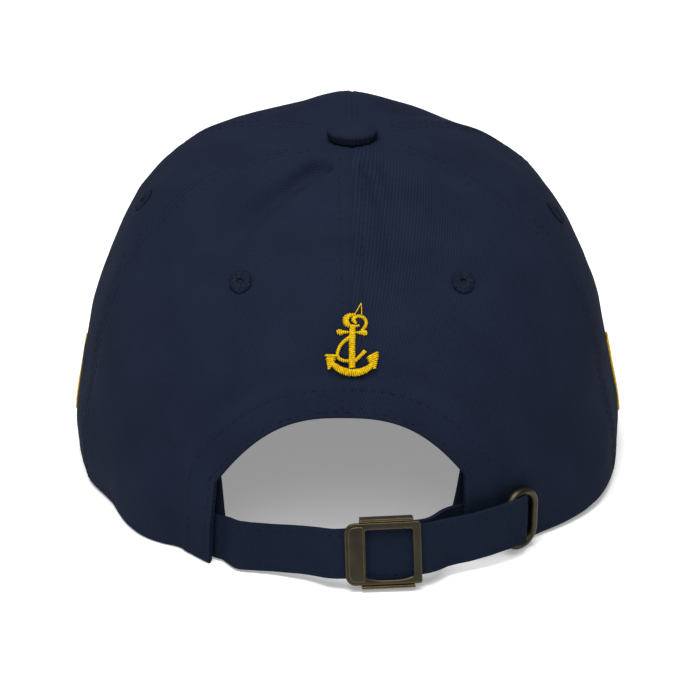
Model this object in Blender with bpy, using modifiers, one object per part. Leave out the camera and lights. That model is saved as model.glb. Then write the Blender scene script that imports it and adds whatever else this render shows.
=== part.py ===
# Six-panel cap in navy cotton twill: a soft crown with a covered button and sewn eyelets, a curved
# peak, an arched opening at the back, a strap with an aged brass buckle, and gold embroidery.
# The peak points to +Y and the opening to -Y. The origin is at the foot of the cap, midway in its box.
import math
from collections import namedtuple

import bmesh
import bpy
import numpy as np
from mathutils import Matrix, Vector

# Crown, in metres. The left, right, back and front reaches are measured from the button's axis.
CROWN_HEIGHT = 0.1035
CROWN_LEFT = 0.088
CROWN_RIGHT = 0.0855
CROWN_BACK = 0.097
CROWN_FRONT = 0.100
PLAN_POWER = 2.12
PANEL_WALL = 0.002
PANEL_COLUMNS = 12
PANEL_ROWS = 14
PANEL_TOP = 0.985
FOOT_SQUARE = 0.06
WAY_STEPS = 401

# Clearances between pieces that touch
GAP = 0.0003
SEAM_GAP = 0.0004
LINING_GAP = 0.0006

# Heights and reaches of the crown as shares of the named sizes, from the rim (way 0) to the top (way 1)
Section = namedtuple("Section", "way height left right back front")
SECTIONS = (
    Section(0.00, 0.00, 0.994, 1.000, 1.000, 0.990),
    Section(0.08, 0.12, 1.005, 1.000, 1.000, 1.000),
    Section(0.19, 0.30, 0.975, 0.965, 0.980, 1.000),
    Section(0.33, 0.50, 0.929, 0.913, 0.918, 0.960),
    Section(0.46, 0.68, 0.848, 0.825, 0.804, 0.880),
    Section(0.60, 0.82, 0.755, 0.710, 0.634, 0.765),
    Section(0.74, 0.92, 0.612, 0.515, 0.428, 0.620),
    Section(0.88, 0.98, 0.300, 0.280, 0.206, 0.380),
    Section(1.00, 1.00, 0.000, 0.000, 0.000, 0.000),
)

# Seams between the panels, in degrees from the back seam
Seam = namedtuple("Seam", "up back_side side_front")
SEAMS = (
    Seam(0.00, 73.0, 118.0),
    Seam(0.46, 71.0, 118.0),
    Seam(0.70, 62.0, 120.0),
    Seam(1.00, 60.0, 120.0),
)

# Dents (depth above 0) and swellings (below 0), each along a line from a to b, as shares of the two sizes
FOLD_DEPTH = 0.003
FOLD_SPREAD = 0.010
FOLD_NEAR = 0.1
Fold = namedtuple("Fold", "azimuth_a way_a azimuth_b way_b depth_a depth_b spread_a spread_b")
FOLDS = (
    Fold(-22.0, 0.88, -35.0, 0.61, 0.70, 0.50, 0.45, 0.90),
    Fold(13.0, 0.88, 11.5, 0.59, 0.45, 0.30, 0.40, 0.60),
    Fold(-177.0, 0.60, -177.0, 0.86, -1.20, -1.10, 1.30, 1.20),
    Fold(-24.5, 0.00, -24.5, 0.06, -1.50, -1.20, 1.10, 1.10),
    Fold(-44.0, 0.00, -44.0, 0.05, -1.10, -0.80, 1.30, 1.30),
    Fold(-62.0, 0.00, -62.0, 0.06, 0.80, 0.50, 1.30, 1.30),
    Fold(40.0, 0.00, 40.0, 0.05, 0.60, 0.50, 1.40, 1.40),
    Fold(60.0, 0.00, 60.0, 0.06, -0.60, -0.40, 1.80, 1.80),
)

# The rim rises from the back to the middle of the peak
PEAK_WALL = 0.0035
RIM_RISE = 0.018
Rise = namedtuple("Rise", "azimuth corner front")
RISES = (
    Rise(-180.0, 1.00, 1.00),
    Rise(-152.0, 1.00, 0.80),
    Rise(-125.0, 1.00, 0.34),
    Rise(-102.0, 1.00, 0.00),
    Rise(-60.0, 0.00, 0.00),
    Rise(28.0, 0.00, 0.00),
    Rise(50.0, 0.25, 0.00),
    Rise(102.0, 1.00, 0.00),
    Rise(125.0, 1.00, 0.34),
    Rise(152.0, 1.00, 0.80),
    Rise(180.0, 1.00, 1.00),
)

# Peak
PEAK_SPAN = math.radians(76.0)
PEAK_HALF_WIDTH = 0.084
PEAK_REACH = 0.068
PEAK_CORNER = 0.006
PEAK_RISE = 0.012
PEAK_REST = 0.62
PEAK_SIDE_POWER = 2.2
PEAK_FRONT_POWER = 2.3
PEAK_COLUMNS = 28
PEAK_ROWS = 5

# Arched opening at the back, in the plane that faces backwards
ARCH_LEFT = 0.0405
ARCH_RIGHT = 0.0335
ARCH_CROWN = -0.002
ARCH_HEIGHT = 0.0469
ARCH_LEFT_CORNER = 0.0246
ARCH_RIGHT_CORNER = 0.0278
ARCH_POWER = 2.6
ARCH_POINTS = 16

# Sweatband
SWEATBAND_HEIGHT = 0.032
SWEATBAND_WALL = 0.0012
SWEATBAND_LIFT = 0.001
SWEATBAND_SHOWS = 0.0038
SWEATBAND_CLOSES = 0.74
SWEATBAND_COLUMNS = 52
SWEATBAND_ROWS = 3

# Past the strap's ends, in degrees: where the sweatband starts to close up, and how long it takes
TUCK_PAST = 3.0
TUCK_FADE = 14.0

# Strap and tab. The rows follow the crown: inside 1 is behind the wall and 0 in front of it.
# Proud, low and lean are shares of the strap's width: outwards, above the floor, and lower edge out.
STRAP_WIDTH = 0.0142
STRAP_WALL = 0.0016
Course = namedtuple("Course", "azimuth inside proud low lean")
STRAP_COURSE = (
    Course(-46.0, 1.00, 0.00, 0.06, 0.00),
    Course(-36.0, 1.00, 0.00, 0.05, 0.00),
    Course(-24.8, 1.00, 0.00, 0.05, 0.00),
    Course(-20.0, 0.10, 0.20, 0.06, 0.03),
    Course(-16.0, 0.00, 0.23, 0.07, 0.06),
    Course(-9.0, 0.00, 0.34, 0.13, 0.18),
    Course(-2.0, 0.00, 0.63, 0.225, 0.26),
    Course(5.4, 0.00, 0.68, 0.272, 0.24),
    Course(13.0, 0.00, 0.56, 0.25, 0.10),
    Course(20.0, 0.00, 0.41, 0.23, 0.00),
    Course(26.0, 0.00, 0.40, 0.27, 0.00),
    Course(30.5, 0.00, 0.38, 0.29, 0.00),
    Course(33.4, 0.00, 0.335, 0.29, 0.00),
    Course(35.2, 0.00, 0.18, 0.29, 0.00),
    Course(36.4, 0.16, 0.06, 0.29, 0.00),
    Course(38.4, 1.00, 0.00, 0.29, 0.00),
    Course(42.0, 1.00, 0.00, 0.27, 0.00),
    Course(50.0, 1.00, 0.00, 0.22, 0.00),
    Course(58.0, 1.00, 0.00, 0.20, 0.00),
)
TAB_WALL = 0.0016
TAB_COURSE = (
    Course(9.0, 0.00, 0.30, 0.24, 0.24),
    Course(14.0, 0.10, 0.16, 0.24, 0.12),
    Course(21.0, 1.00, 0.00, 0.24, 0.00),
    Course(27.0, 1.00, 0.00, 0.24, 0.00),
    Course(33.0, 1.00, 0.00, 0.24, 0.00),
)
STEPS_PER_COURSE = 3
STRIP_ROWS = 2
BUCKLE_EASE = 0.008

# Buckle
BUCKLE_AZIMUTH = 4.8
LEVER_WIDTH = 0.0226
LEVER_HEIGHT = 0.0186
LEVER_WALL = 0.0014
LEVER_CORNER = 0.003
LEVER_BAR = 0.0061
LEVER_SIDE = 0.0024
LEVER_RIM = 0.0016
BASE_WIDTH = 0.0158
BASE_OFFSET = 0.0013
BASE_WALL = 0.0008
BUCKLE_GAP = 0.0005
BRASS_ROUND = 0.00025

# Offset is the distance of a strip's middle from the strap's middle where the buckle holds both
Strip = namedtuple("Strip", "course wall offset")
STRAP = Strip(STRAP_COURSE, STRAP_WALL, 0.0)
TAB = Strip(TAB_COURSE, TAB_WALL, -(STRAP_WALL + TAB_WALL) / 2.0 - BASE_WALL - 2.0 * BUCKLE_GAP)

# Slot ring
RING_AZIMUTH = 34.8
RING_WIDTH = 0.0132
RING_WIRE = 0.0009
RING_DEPTH = 0.0014
RING_CORNER = 0.0036
RING_STEPS = 2
SLOT_AZIMUTH = 37.2
SLOT_WIDTH = 0.0046
CUTTER_REACH = 8 * PANEL_WALL

# Button and eyelets
BUTTON_RADIUS = 0.008
BUTTON_HEIGHT = 0.0047
BUTTON_EDGE = 0.0016
BUTTON_RINGS = 6
BUTTON_STEPS = 24
BUTTON_NEAR_WAY = 0.8
EYELET_RING = 0.0024
EYELET_THREAD = 0.00135
EYELET_FLATTEN = 0.45
EYELET_STEPS = 14
EYELET_THREAD_STEPS = 6
EYELET_HOLE_STEPS = 10
Eyelet = namedtuple("Eyelet", "name azimuth height")
EYELETS = (
    Eyelet("back_left", -27.0, 0.763),
    Eyelet("back_right", 29.0, 0.760),
    Eyelet("side_left", -82.0, 0.830),
    Eyelet("side_right", 84.5, 0.784),
    Eyelet("front_left", -151.0, 0.800),
    Eyelet("front_right", 151.0, 0.800),
)

# Anchor, in shares of its height: x to the right, y from its lowest point up, radius of the satin
ANCHOR_HEIGHT = 0.0203
ANCHOR_FOOT = 0.564
ANCHOR_FLATTEN = 0.35
ANCHOR_STEPS = 3
Stitch = namedtuple("Stitch", "x y radius")
ANCHOR_STROKES = (
    (Stitch(0.005, 0.75, 0.036), Stitch(0.00, 0.55, 0.042), Stitch(0.00, 0.13, 0.042)),
    (Stitch(-0.195, 0.653, 0.030), Stitch(-0.165, 0.653, 0.048), Stitch(-0.11, 0.654, 0.026),
     Stitch(0.115, 0.646, 0.026), Stitch(0.165, 0.644, 0.047), Stitch(0.20, 0.644, 0.030)),
    (Stitch(-0.308, 0.203, 0.036), Stitch(-0.223, 0.132, 0.042), Stitch(-0.111, 0.071, 0.050),
     Stitch(0.009, 0.051, 0.053), Stitch(0.129, 0.066, 0.050), Stitch(0.248, 0.124, 0.042),
     Stitch(0.317, 0.185, 0.036)),
    (Stitch(-0.285, 0.29, 0.095), Stitch(-0.308, 0.194, 0.055), Stitch(-0.326, 0.095, 0.014)),
    (Stitch(0.30, 0.30, 0.10), Stitch(0.317, 0.22, 0.075), Stitch(0.328, 0.11, 0.022)),
    (Stitch(0.034, 0.948, 0.018), Stitch(-0.034, 0.936, 0.032), Stitch(-0.077, 0.892, 0.042),
     Stitch(-0.081, 0.83, 0.044), Stitch(-0.046, 0.768, 0.036), Stitch(0.017, 0.75, 0.024),
     Stitch(0.091, 0.763, 0.012)),
    (Stitch(0.046, 0.807, 0.018), Stitch(0.012, 0.856, 0.026), Stitch(0.029, 0.90, 0.026),
     Stitch(0.086, 0.922, 0.022), Stitch(0.163, 0.892, 0.022), Stitch(0.197, 0.817, 0.022),
     Stitch(0.176, 0.733, 0.022), Stitch(0.137, 0.68, 0.020)),
    (Stitch(-0.026, 0.574, 0.026), Stitch(-0.111, 0.503, 0.024), Stitch(-0.18, 0.397, 0.022),
     Stitch(-0.20, 0.30, 0.022), Stitch(-0.171, 0.247, 0.022), Stitch(-0.094, 0.221, 0.022),
     Stitch(0.009, 0.221, 0.022)),
    (Stitch(0.043, 0.221, 0.024), Stitch(0.111, 0.291, 0.024), Stitch(0.18, 0.358, 0.030)),
)

# Plain gold bar on each side
BAR_WIDTH = 0.007
BAR_HEIGHT = 0.024
BAR_WALL = 0.0004
BAR_FOOT = 0.141
BAR_COLUMNS = 2
BAR_ROWS = 5
BAR_LEFT_AZIMUTH = -88.0
BAR_RIGHT_AZIMUTH = 88.0

CORNER_STEPS = 4
NUDGE = 1e-3
LAY_TURN = 0.08
COLLECTION = "officer_hat"
WELD = 1e-5
SMOOTH_ANGLE = math.radians(40.0)

TWILL = ("navy cotton twill", (0.0160, 0.0232, 0.0430, 1.0), 0.92, 0.0)
BRASS = ("aged brass", (0.0560, 0.0430, 0.0270, 1.0), 0.42, 0.9)
THREAD = ("gold thread", (0.7200, 0.4300, 0.0080, 1.0), 0.48, 0.0)


def smooth(places, values, at):
    """Monotone cubic through the rows of a table, so nothing swells past a row."""
    places = np.asarray(places, float)
    values = np.asarray(values, float)
    steps = np.diff(places)
    slopes = np.diff(values) / steps
    tangents = np.concatenate(([slopes[0]], np.zeros(len(steps) - 1), [slopes[-1]]))
    before, after = slopes[:-1], slopes[1:]
    same_way = before * after > 0.0
    safe_before = np.where(same_way, before, 1.0)
    safe_after = np.where(same_way, after, 1.0)
    tangents[1:-1] = np.where(same_way, 2.0 / (1.0 / safe_before + 1.0 / safe_after), 0.0)
    at = np.clip(np.asarray(at, float), places[0], places[-1])
    span = np.clip(np.searchsorted(places, at, side="right") - 1, 0, len(steps) - 1)
    share = (at - places[span]) / steps[span]
    start, end = values[span], values[span + 1]
    lean_start, lean_end = tangents[span] * steps[span], tangents[span + 1] * steps[span]
    square, cube = share**2, share**3
    return (
        start * (2 * cube - 3 * square + 1)
        + lean_start * (cube - 2 * square + share)
        + end * (3 * square - 2 * cube)
        + lean_end * (cube - square)
    )


def column(table, name):
    return [getattr(row, name) for row in table]


def read(table, key, name, at):
    return smooth(column(table, key), column(table, name), at)


def signed_power(value, power):
    return np.sign(value) * np.abs(value) ** power


def ease(value):
    value = np.clip(value, 0.0, 1.0)
    return value * value * (3.0 - 2.0 * value)


def unit(vectors):
    return vectors / np.linalg.norm(vectors, axis=-1, keepdims=True)


def crown_form(azimuth, way):
    """Crown without its folds: azimuth in radians from the back seam, way from the rim to the top."""
    sine, cosine = np.sin(azimuth), np.cos(azimuth)
    left = CROWN_LEFT * read(SECTIONS, "way", "left", way)
    right = CROWN_RIGHT * read(SECTIONS, "way", "right", way)
    back = CROWN_BACK * read(SECTIONS, "way", "back", way)
    front = CROWN_FRONT * read(SECTIONS, "way", "front", way)
    x = signed_power(sine, 2.0 / PLAN_POWER) * np.where(sine < 0.0, left, right)
    y = -signed_power(cosine, 2.0 / PLAN_POWER) * np.where(cosine > 0.0, back, front)
    z = CROWN_HEIGHT * read(SECTIONS, "way", "height", way)
    return np.stack([x, y, z + 0.0 * x], axis=-1)


def facing(form, azimuth, way):
    """Outward normal of a surface given as form(azimuth, way)."""
    east = form(azimuth + NUDGE, way) - form(azimuth - NUDGE, way)
    up = form(azimuth, np.minimum(way + NUDGE, 1.0)) - form(azimuth, np.maximum(way - NUDGE, 0.0))
    return unit(np.cross(east, up))


def levelled(outward, way):
    """Normals turned level towards the rim, so that the rim is cut square."""
    share = np.stack([np.ones_like(way), np.ones_like(way), ease(way / FOOT_SQUARE)], axis=-1)
    return unit(outward * share)


def crown_surface(azimuth, way):
    """Outside of the cloth, with its dents and swellings."""
    azimuth, way = np.broadcast_arrays(np.asarray(azimuth, float), np.asarray(way, float))
    points = crown_form(azimuth, way)
    outward = levelled(facing(crown_form, azimuth, way), way)
    sink = np.zeros(azimuth.shape)
    for fold in FOLDS:
        start = crown_form(math.radians(fold.azimuth_a), np.float64(fold.way_a))
        line = crown_form(math.radians(fold.azimuth_b), np.float64(fold.way_b)) - start
        along = np.clip((points - start) @ line / (line @ line), 0.0, 1.0)
        aside = points - start - along[..., None] * line
        height = np.sum(aside * outward, axis=-1)
        reach = np.sum(aside**2, axis=-1) - (1.0 - FOLD_NEAR) * height**2
        depth = FOLD_DEPTH * (fold.depth_a + (fold.depth_b - fold.depth_a) * along)
        spread = FOLD_SPREAD * (fold.spread_a + (fold.spread_b - fold.spread_a) * along)
        sink += depth * np.exp(-reach / spread**2)
    return points - sink[..., None] * outward


def crown_point(azimuth, way, depth):
    """Point at a depth in the cloth, measured inwards."""
    azimuth, way = np.broadcast_arrays(np.asarray(azimuth, float), np.asarray(way, float))
    outward = levelled(facing(crown_surface, azimuth, way), way)
    depth = np.broadcast_to(np.asarray(depth, float), azimuth.shape)
    return crown_surface(azimuth, way) - depth[..., None] * outward


def way_at(height):
    """Way at which the crown reaches a height."""
    ways = np.linspace(0.0, 1.0, WAY_STEPS)
    return np.interp(np.asarray(height, float) / CROWN_HEIGHT, read(SECTIONS, "way", "height", ways), ways)


def rim_height(azimuth):
    """Height of the rim's cloth above the surface that the cap rests on."""
    turned = np.degrees((azimuth + math.pi) % (2.0 * math.pi) - math.pi)
    corner = PEAK_WALL + GAP
    return (
        corner * read(RISES, "azimuth", "corner", turned)
        + (RIM_RISE - corner) * read(RISES, "azimuth", "front", turned)
    )


def material(finish):
    """Plain shader of a finish, made once."""
    name, colour, roughness, metallic = finish
    made = bpy.data.materials.get(name)
    if made is None:
        made = bpy.data.materials.new(name)
        made.use_nodes = True
        shader = made.node_tree.nodes["Principled BSDF"]
        shader.inputs["Base Color"].default_value = colour
        shader.inputs["Roughness"].default_value = roughness
        shader.inputs["Metallic"].default_value = metallic
        made.diffuse_color = colour
    return made


def collection(name):
    made = bpy.data.collections.new(name)
    bpy.context.scene.collection.children.link(made)
    return made


def keep(name, mesh, finish, group, root):
    """Puts a mesh in the scene as a finished piece."""
    piece = bpy.data.objects.new(name, mesh)
    group.objects.link(piece)
    piece.parent = root
    mesh.materials.clear()
    mesh.materials.append(material(finish))
    mesh.shade_smooth()
    mesh.set_sharp_from_angle(angle=SMOOTH_ANGLE)
    return piece


def as_cutter(piece, cutters):
    """Moves a piece among the cutters, where it is not part of the object."""
    for group in list(piece.users_collection):
        group.objects.unlink(piece)
    cutters.objects.link(piece)
    piece.hide_render = True
    piece.display_type = "WIRE"


def combine(piece, other, operation):
    modifier = piece.modifiers.new(operation.lower(), "BOOLEAN")
    modifier.operation = operation
    modifier.solver = "EXACT"
    modifier.object = other


def baked_mesh(piece):
    """Mesh of a piece as its modifiers leave it, in the piece's own axes."""
    bpy.context.view_layer.update()
    evaluated = piece.evaluated_get(bpy.context.evaluated_depsgraph_get())
    return bpy.data.meshes.new_from_object(evaluated)


def welded(mesh):
    """Mesh whose loose caps are joined to its sides."""
    work = bmesh.new()
    work.from_mesh(mesh)
    bmesh.ops.remove_doubles(work, verts=work.verts, dist=WELD)
    bmesh.ops.recalc_face_normals(work, faces=work.faces)
    work.to_mesh(mesh)
    work.free()
    return mesh


def curve_mesh(curve):
    """Closed mesh of a curve, which is then removed."""
    carrier = bpy.data.objects.new(curve.name, curve)
    bpy.context.scene.collection.objects.link(carrier)
    mesh = welded(baked_mesh(carrier))
    bpy.data.objects.remove(carrier)
    return mesh


def flat_outline(name, outlines, thickness):
    """Plate with the given closed outlines, the inner ones being holes."""
    curve = bpy.data.curves.new(name, "CURVE")
    curve.dimensions = "2D"
    curve.fill_mode = "BOTH"
    curve.extrude = thickness / 2.0
    for outline in outlines:
        spline = curve.splines.new("POLY")
        spline.points.add(len(outline) - 1)
        for point, (x, y) in zip(spline.points, outline):
            point.co = (x, y, 0.0, 1.0)
        spline.use_cyclic_u = True
    return curve_mesh(curve)


def round_outline(left, right, low, high, radii):
    """Rectangle with round corners: radii run from the low left corner round to the high left one."""
    centres = ((left, low, 1, 1), (right, low, -1, 1), (right, high, -1, -1), (left, high, 1, -1))
    outline = []
    for index, ((x, y, turn_x, turn_y), radius) in enumerate(zip(centres, radii)):
        for step in range(CORNER_STEPS + 1):
            angle = 0.5 * math.pi * (2 + index + step / CORNER_STEPS)
            outline.append((x + radius * (turn_x + math.cos(angle)), y + radius * (turn_y + math.sin(angle))))
    return outline


def sheet(place, columns, rows):
    """Closed sheet of cloth: place(across, up, face) gives its points, face 0 outside and 1 inside."""
    work = bmesh.new()
    for face in (0.0, 1.0):
        verts = bmesh.ops.create_grid(work, x_segments=columns, y_segments=rows, size=0.5)["verts"]
        spots = np.array([vert.co[:2] for vert in verts]) + 0.5
        for vert, point in zip(verts, place(spots[:, 0], spots[:, 1], face)):
            vert.co = point
    edges = [edge for edge in work.edges if edge.is_boundary]
    bmesh.ops.bridge_loops(work, edges=edges)
    bmesh.ops.recalc_face_normals(work, faces=work.faces)
    mesh = bpy.data.meshes.new("sheet")
    work.to_mesh(mesh)
    work.free()
    return mesh


def seam(side, up):
    """Azimuth of a named seam at a share of a panel's height."""
    fixed = {"back": 0.0, "front": 180.0}
    if side in fixed:
        return np.radians(fixed[side]) + 0.0 * up
    return np.radians(read(SEAMS, "up", side, up))


def panel_mesh(turn, near, far):
    """Panel between two seams, on the side of the cap that turn gives: -1 left, 1 right."""

    def place(across, up, face):
        start, end = seam(near, up), seam(far, up)
        azimuth = turn * (start + (end - start) * across)
        way = way_at(rim_height(azimuth))
        way = way + (PANEL_TOP - way) * up
        radius = np.linalg.norm(crown_form(azimuth, way)[:, :2], axis=-1)
        azimuth = azimuth + turn * (0.5 - across) * SEAM_GAP / radius
        return crown_point(azimuth, way, face * PANEL_WALL)

    return sheet(place, PANEL_COLUMNS, PANEL_ROWS)


def standing(azimuth, height, out):
    """Axes of the crown at a place: columns east, up and outward, set off by out."""
    way = way_at(height)
    east = unit(crown_surface(azimuth + NUDGE, way) - crown_surface(azimuth - NUDGE, way))
    outward = facing(crown_surface, azimuth, way)
    return as_matrix(east, np.cross(outward, east), outward, crown_surface(azimuth, way) + out * outward)


def lay_on_crown(mesh, azimuth, height, gap):
    """Bends a flat mesh (x east, y up, z outward) onto the crown round a place."""
    way = way_at(height)
    east = crown_form(azimuth + LAY_TURN, way) - crown_form(azimuth - LAY_TURN, way)
    up = crown_form(azimuth, way + NUDGE) - crown_form(azimuth, way - NUDGE)
    per_turn = np.linalg.norm(east) / (2 * LAY_TURN)
    per_way = np.linalg.norm(up) / (2 * NUDGE)
    flat = np.array([vert.co for vert in mesh.vertices])
    ways = way + flat[:, 1] / per_way
    girth = read(SECTIONS, "way", "back", ways) / read(SECTIONS, "way", "back", way)
    laid = crown_point(azimuth + flat[:, 0] / (per_turn * girth), ways, -(flat[:, 2] + gap))
    for vert, point in zip(mesh.vertices, laid):
        vert.co = point
    return mesh


def arch_outline():
    """Outline of the opening, from the floor up the left edge, over the arch and down the right edge."""
    outline = [(-ARCH_LEFT, -ARCH_HEIGHT), (-ARCH_LEFT, ARCH_LEFT_CORNER)]
    for side, reach, corner in ((-1, ARCH_LEFT, ARCH_LEFT_CORNER), (1, ARCH_RIGHT, ARCH_RIGHT_CORNER)):
        half = reach - side * ARCH_CROWN
        shares = [step / ARCH_POINTS for step in range(1, ARCH_POINTS)]
        if side < 0:
            shares = shares[::-1]
        for share in shares:
            x = ARCH_CROWN + side * half * share
            outline.append((x, corner + (ARCH_HEIGHT - corner) * (1.0 - share**ARCH_POWER)))
        if side < 0:
            outline.append((ARCH_CROWN, ARCH_HEIGHT))
    outline += [(ARCH_RIGHT, ARCH_RIGHT_CORNER), (ARCH_RIGHT, -ARCH_HEIGHT)]
    return outline


def make_panels(group, cutters, root):
    """Six cloth panels. The back two are cut by the arch, and the right one also by the strap's slot."""
    arch = keep("arch_cutter", flat_outline("arch", [arch_outline()], CROWN_BACK), TWILL, group, root)
    arch.rotation_euler = (math.pi / 2.0, 0.0, 0.0)
    arch.location = (0.0, -CROWN_BACK, 0.0)
    as_cutter(arch, cutters)
    slot_box = round_outline(
        -SLOT_WIDTH / 2, SLOT_WIDTH / 2, -STRAP_WIDTH / 2 - BUCKLE_GAP, STRAP_WIDTH / 2 + BUCKLE_GAP,
        [SLOT_WIDTH / 4] * 4,
    )
    slot = keep("slot_cutter", flat_outline("slot", [slot_box], CUTTER_REACH), TWILL, group, root)
    slot.matrix_world = standing(math.radians(SLOT_AZIMUTH), ring_height(), 0.0)
    as_cutter(slot, cutters)
    spans = (("back", "back_side"), ("back_side", "side_front"), ("side_front", "front"))
    panels = {}
    for place, (near, far) in zip(("back", "side", "front"), spans):
        for side, turn in (("left", -1), ("right", 1)):
            name = f"{place}_{side}"
            panels[name] = keep(f"panel_{name}", panel_mesh(turn, near, far), TWILL, group, root)
    for side in ("left", "right"):
        combine(panels[f"back_{side}"], arch, "DIFFERENCE")
    combine(panels["back_right"], slot, "DIFFERENCE")
    return panels


def make_eyelets(panels, group, cutters, root):
    """Sewn ring round a small hole in each panel."""
    for eyelet in EYELETS:
        azimuth, height = math.radians(eyelet.azimuth), eyelet.height * CROWN_HEIGHT
        bpy.ops.mesh.primitive_torus_add(
            major_radius=EYELET_RING, minor_radius=EYELET_THREAD,
            major_segments=EYELET_STEPS, minor_segments=EYELET_THREAD_STEPS,
        )
        mesh = bpy.context.object.data
        bpy.data.objects.remove(bpy.context.object)
        mesh.transform(Matrix.Diagonal((1.0, 1.0, EYELET_FLATTEN, 1.0)))
        lay_on_crown(mesh, azimuth, height, GAP + EYELET_THREAD * EYELET_FLATTEN)
        keep(f"eyelet_{eyelet.name}", mesh, TWILL, group, root)
        bpy.ops.mesh.primitive_cylinder_add(
            vertices=EYELET_HOLE_STEPS, radius=EYELET_RING - EYELET_THREAD, depth=CUTTER_REACH
        )
        mesh = bpy.context.object.data
        bpy.data.objects.remove(bpy.context.object)
        hole = keep(f"hole_{eyelet.name}", mesh, TWILL, group, root)
        hole.matrix_world = standing(azimuth, height, 0.0)
        as_cutter(hole, cutters)
        combine(panels[eyelet.name], hole, "DIFFERENCE")


def make_button(group, root):
    """Covered button, turned: a dome with a short edge that follows the top of the crown."""
    ways = np.linspace(BUTTON_NEAR_WAY, 1.0, WAY_STEPS)
    radii = CROWN_FRONT * read(SECTIONS, "way", "front", ways)
    heights = CROWN_HEIGHT * read(SECTIONS, "way", "height", ways)
    foot = CROWN_HEIGHT + GAP
    edge = GAP + float(np.interp(-BUTTON_RADIUS, -radii, heights))
    mesh = bpy.data.meshes.new("button")
    dome = BUTTON_HEIGHT - BUTTON_EDGE
    profile = [
        (BUTTON_RADIUS * math.sin(turn), 0.0, foot + BUTTON_EDGE + dome * math.cos(turn))
        for turn in np.linspace(0.0, math.pi / 2.0, BUTTON_RINGS + 1)
    ]
    profile += [(BUTTON_RADIUS, 0.0, edge), (0.0, 0.0, foot)]
    mesh.from_pydata(profile, [(index, index + 1) for index in range(len(profile) - 1)], [])
    button = keep("button", mesh, TWILL, group, root)
    turning = button.modifiers.new("turning", "SCREW")
    turning.steps = BUTTON_STEPS
    turning.render_steps = BUTTON_STEPS
    turning.use_merge_vertices = True
    turning.merge_threshold = WELD
    turning.use_smooth_shade = True


def peak_place(across, out, face):
    """Peak: straight rulings from the front rim to the outer edge, whose sides rest on the surface."""
    turn = 2.0 * across - 1.0
    azimuth = math.pi - turn * PEAK_SPAN
    inner = crown_point(azimuth, way_at(rim_height(azimuth)), PANEL_WALL)
    inner[:, 2] = rim_height(azimuth) - GAP
    corner = crown_point(math.pi - PEAK_SPAN, way_at(rim_height(np.float64(math.pi - PEAK_SPAN))), 0.0)
    angle = turn * math.pi / 2.0
    tip = CROWN_FRONT + PEAK_REACH
    side = signed_power(np.sin(angle), 2.0 / PEAK_SIDE_POWER)
    ahead = np.maximum(np.cos(angle), 0.0) ** (2.0 / PEAK_FRONT_POWER)
    root_y = corner[1] - PEAK_CORNER
    outer = np.stack(
        [
            PEAK_HALF_WIDTH * side,
            root_y + (tip - root_y) * ahead,
            PEAK_WALL + PEAK_RISE * ease(1.0 - np.abs(turn) / PEAK_REST),
        ],
        axis=-1,
    )
    points = inner + (outer - inner) * out[:, None]
    points[:, 2] -= face * PEAK_WALL
    return points


def tuck(azimuth):
    """How far the sweatband makes room for the strap and the tab: 1 at the back, 0 at the sides."""
    turned = np.degrees(np.abs((azimuth + math.pi) % (2.0 * math.pi) - math.pi))
    last = max(abs(STRAP_COURSE[0].azimuth), STRAP_COURSE[-1].azimuth)
    return 1.0 - ease((turned - last - TUCK_PAST) / TUCK_FADE)


def sweatband_place(across, up, face):
    """Sweatband round the inside of the rim, from one side of the opening to the other."""
    shows = SWEATBAND_SHOWS * (1.0 - up / SWEATBAND_CLOSES)
    start = math.asin(ARCH_RIGHT / CROWN_RIGHT) - shows / CROWN_RIGHT
    end = 2.0 * math.pi - math.asin(ARCH_LEFT / CROWN_LEFT) + shows / CROWN_LEFT
    azimuth = start + (end - start) * across
    height = rim_height(azimuth) + SWEATBAND_LIFT + SWEATBAND_HEIGHT * up
    depth = PANEL_WALL + LINING_GAP + tuck(azimuth) * (STRAP_WALL + LINING_GAP) + face * SWEATBAND_WALL
    return crown_point(azimuth, way_at(height), depth)


def course_point(strip, along, rise):
    """Middle of a strip: along counts the rows of its course, rise goes from its lower to its upper edge."""
    rows = np.arange(len(strip.course))
    azimuth = np.radians(smooth(rows, column(strip.course, "azimuth"), along))
    inside = smooth(rows, column(strip.course, "inside"), along)
    proud = smooth(rows, column(strip.course, "proud"), along) * STRAP_WIDTH
    low = smooth(rows, column(strip.course, "low"), along) * STRAP_WIDTH
    lean = smooth(rows, column(strip.course, "lean"), along) * STRAP_WIDTH
    height = low + rise * np.sqrt(STRAP_WIDTH**2 - lean**2)
    depth = inside * (PANEL_WALL + LINING_GAP + strip.wall / 2.0) - proud - lean * (0.5 - rise)
    return crown_point(azimuth, way_at(height), depth)


def axes_of(form, along, rise):
    """Point of a strip's surface with its directions along, up and outward."""
    forward = unit(form(along + NUDGE, rise) - form(along - NUDGE, rise))
    upward = form(along, rise + NUDGE) - form(along, rise - NUDGE)
    outward = unit(np.cross(forward, upward))
    return form(along, rise), forward, np.cross(outward, forward), outward


def buckle_axes():
    """Place of the buckle on the strap with its directions along, up and outward."""
    along = course_share(STRAP_COURSE, BUCKLE_AZIMUTH)
    return axes_of(lambda at, rise: course_point(STRAP, at, rise), along, 0.5)


def held_point(strip, along, rise):
    """Middle of a strip where the buckle holds it flat at its own distance, and on its course elsewhere."""
    points = course_point(strip, along, rise)
    origin, forward, _, outward = buckle_axes()
    away = points - origin
    hold = 1.0 - ease((np.abs(away @ forward) - LEVER_WIDTH / 2.0 - BUCKLE_GAP) / BUCKLE_EASE)
    return points + (hold * (strip.offset - away @ outward))[..., None] * outward


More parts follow.
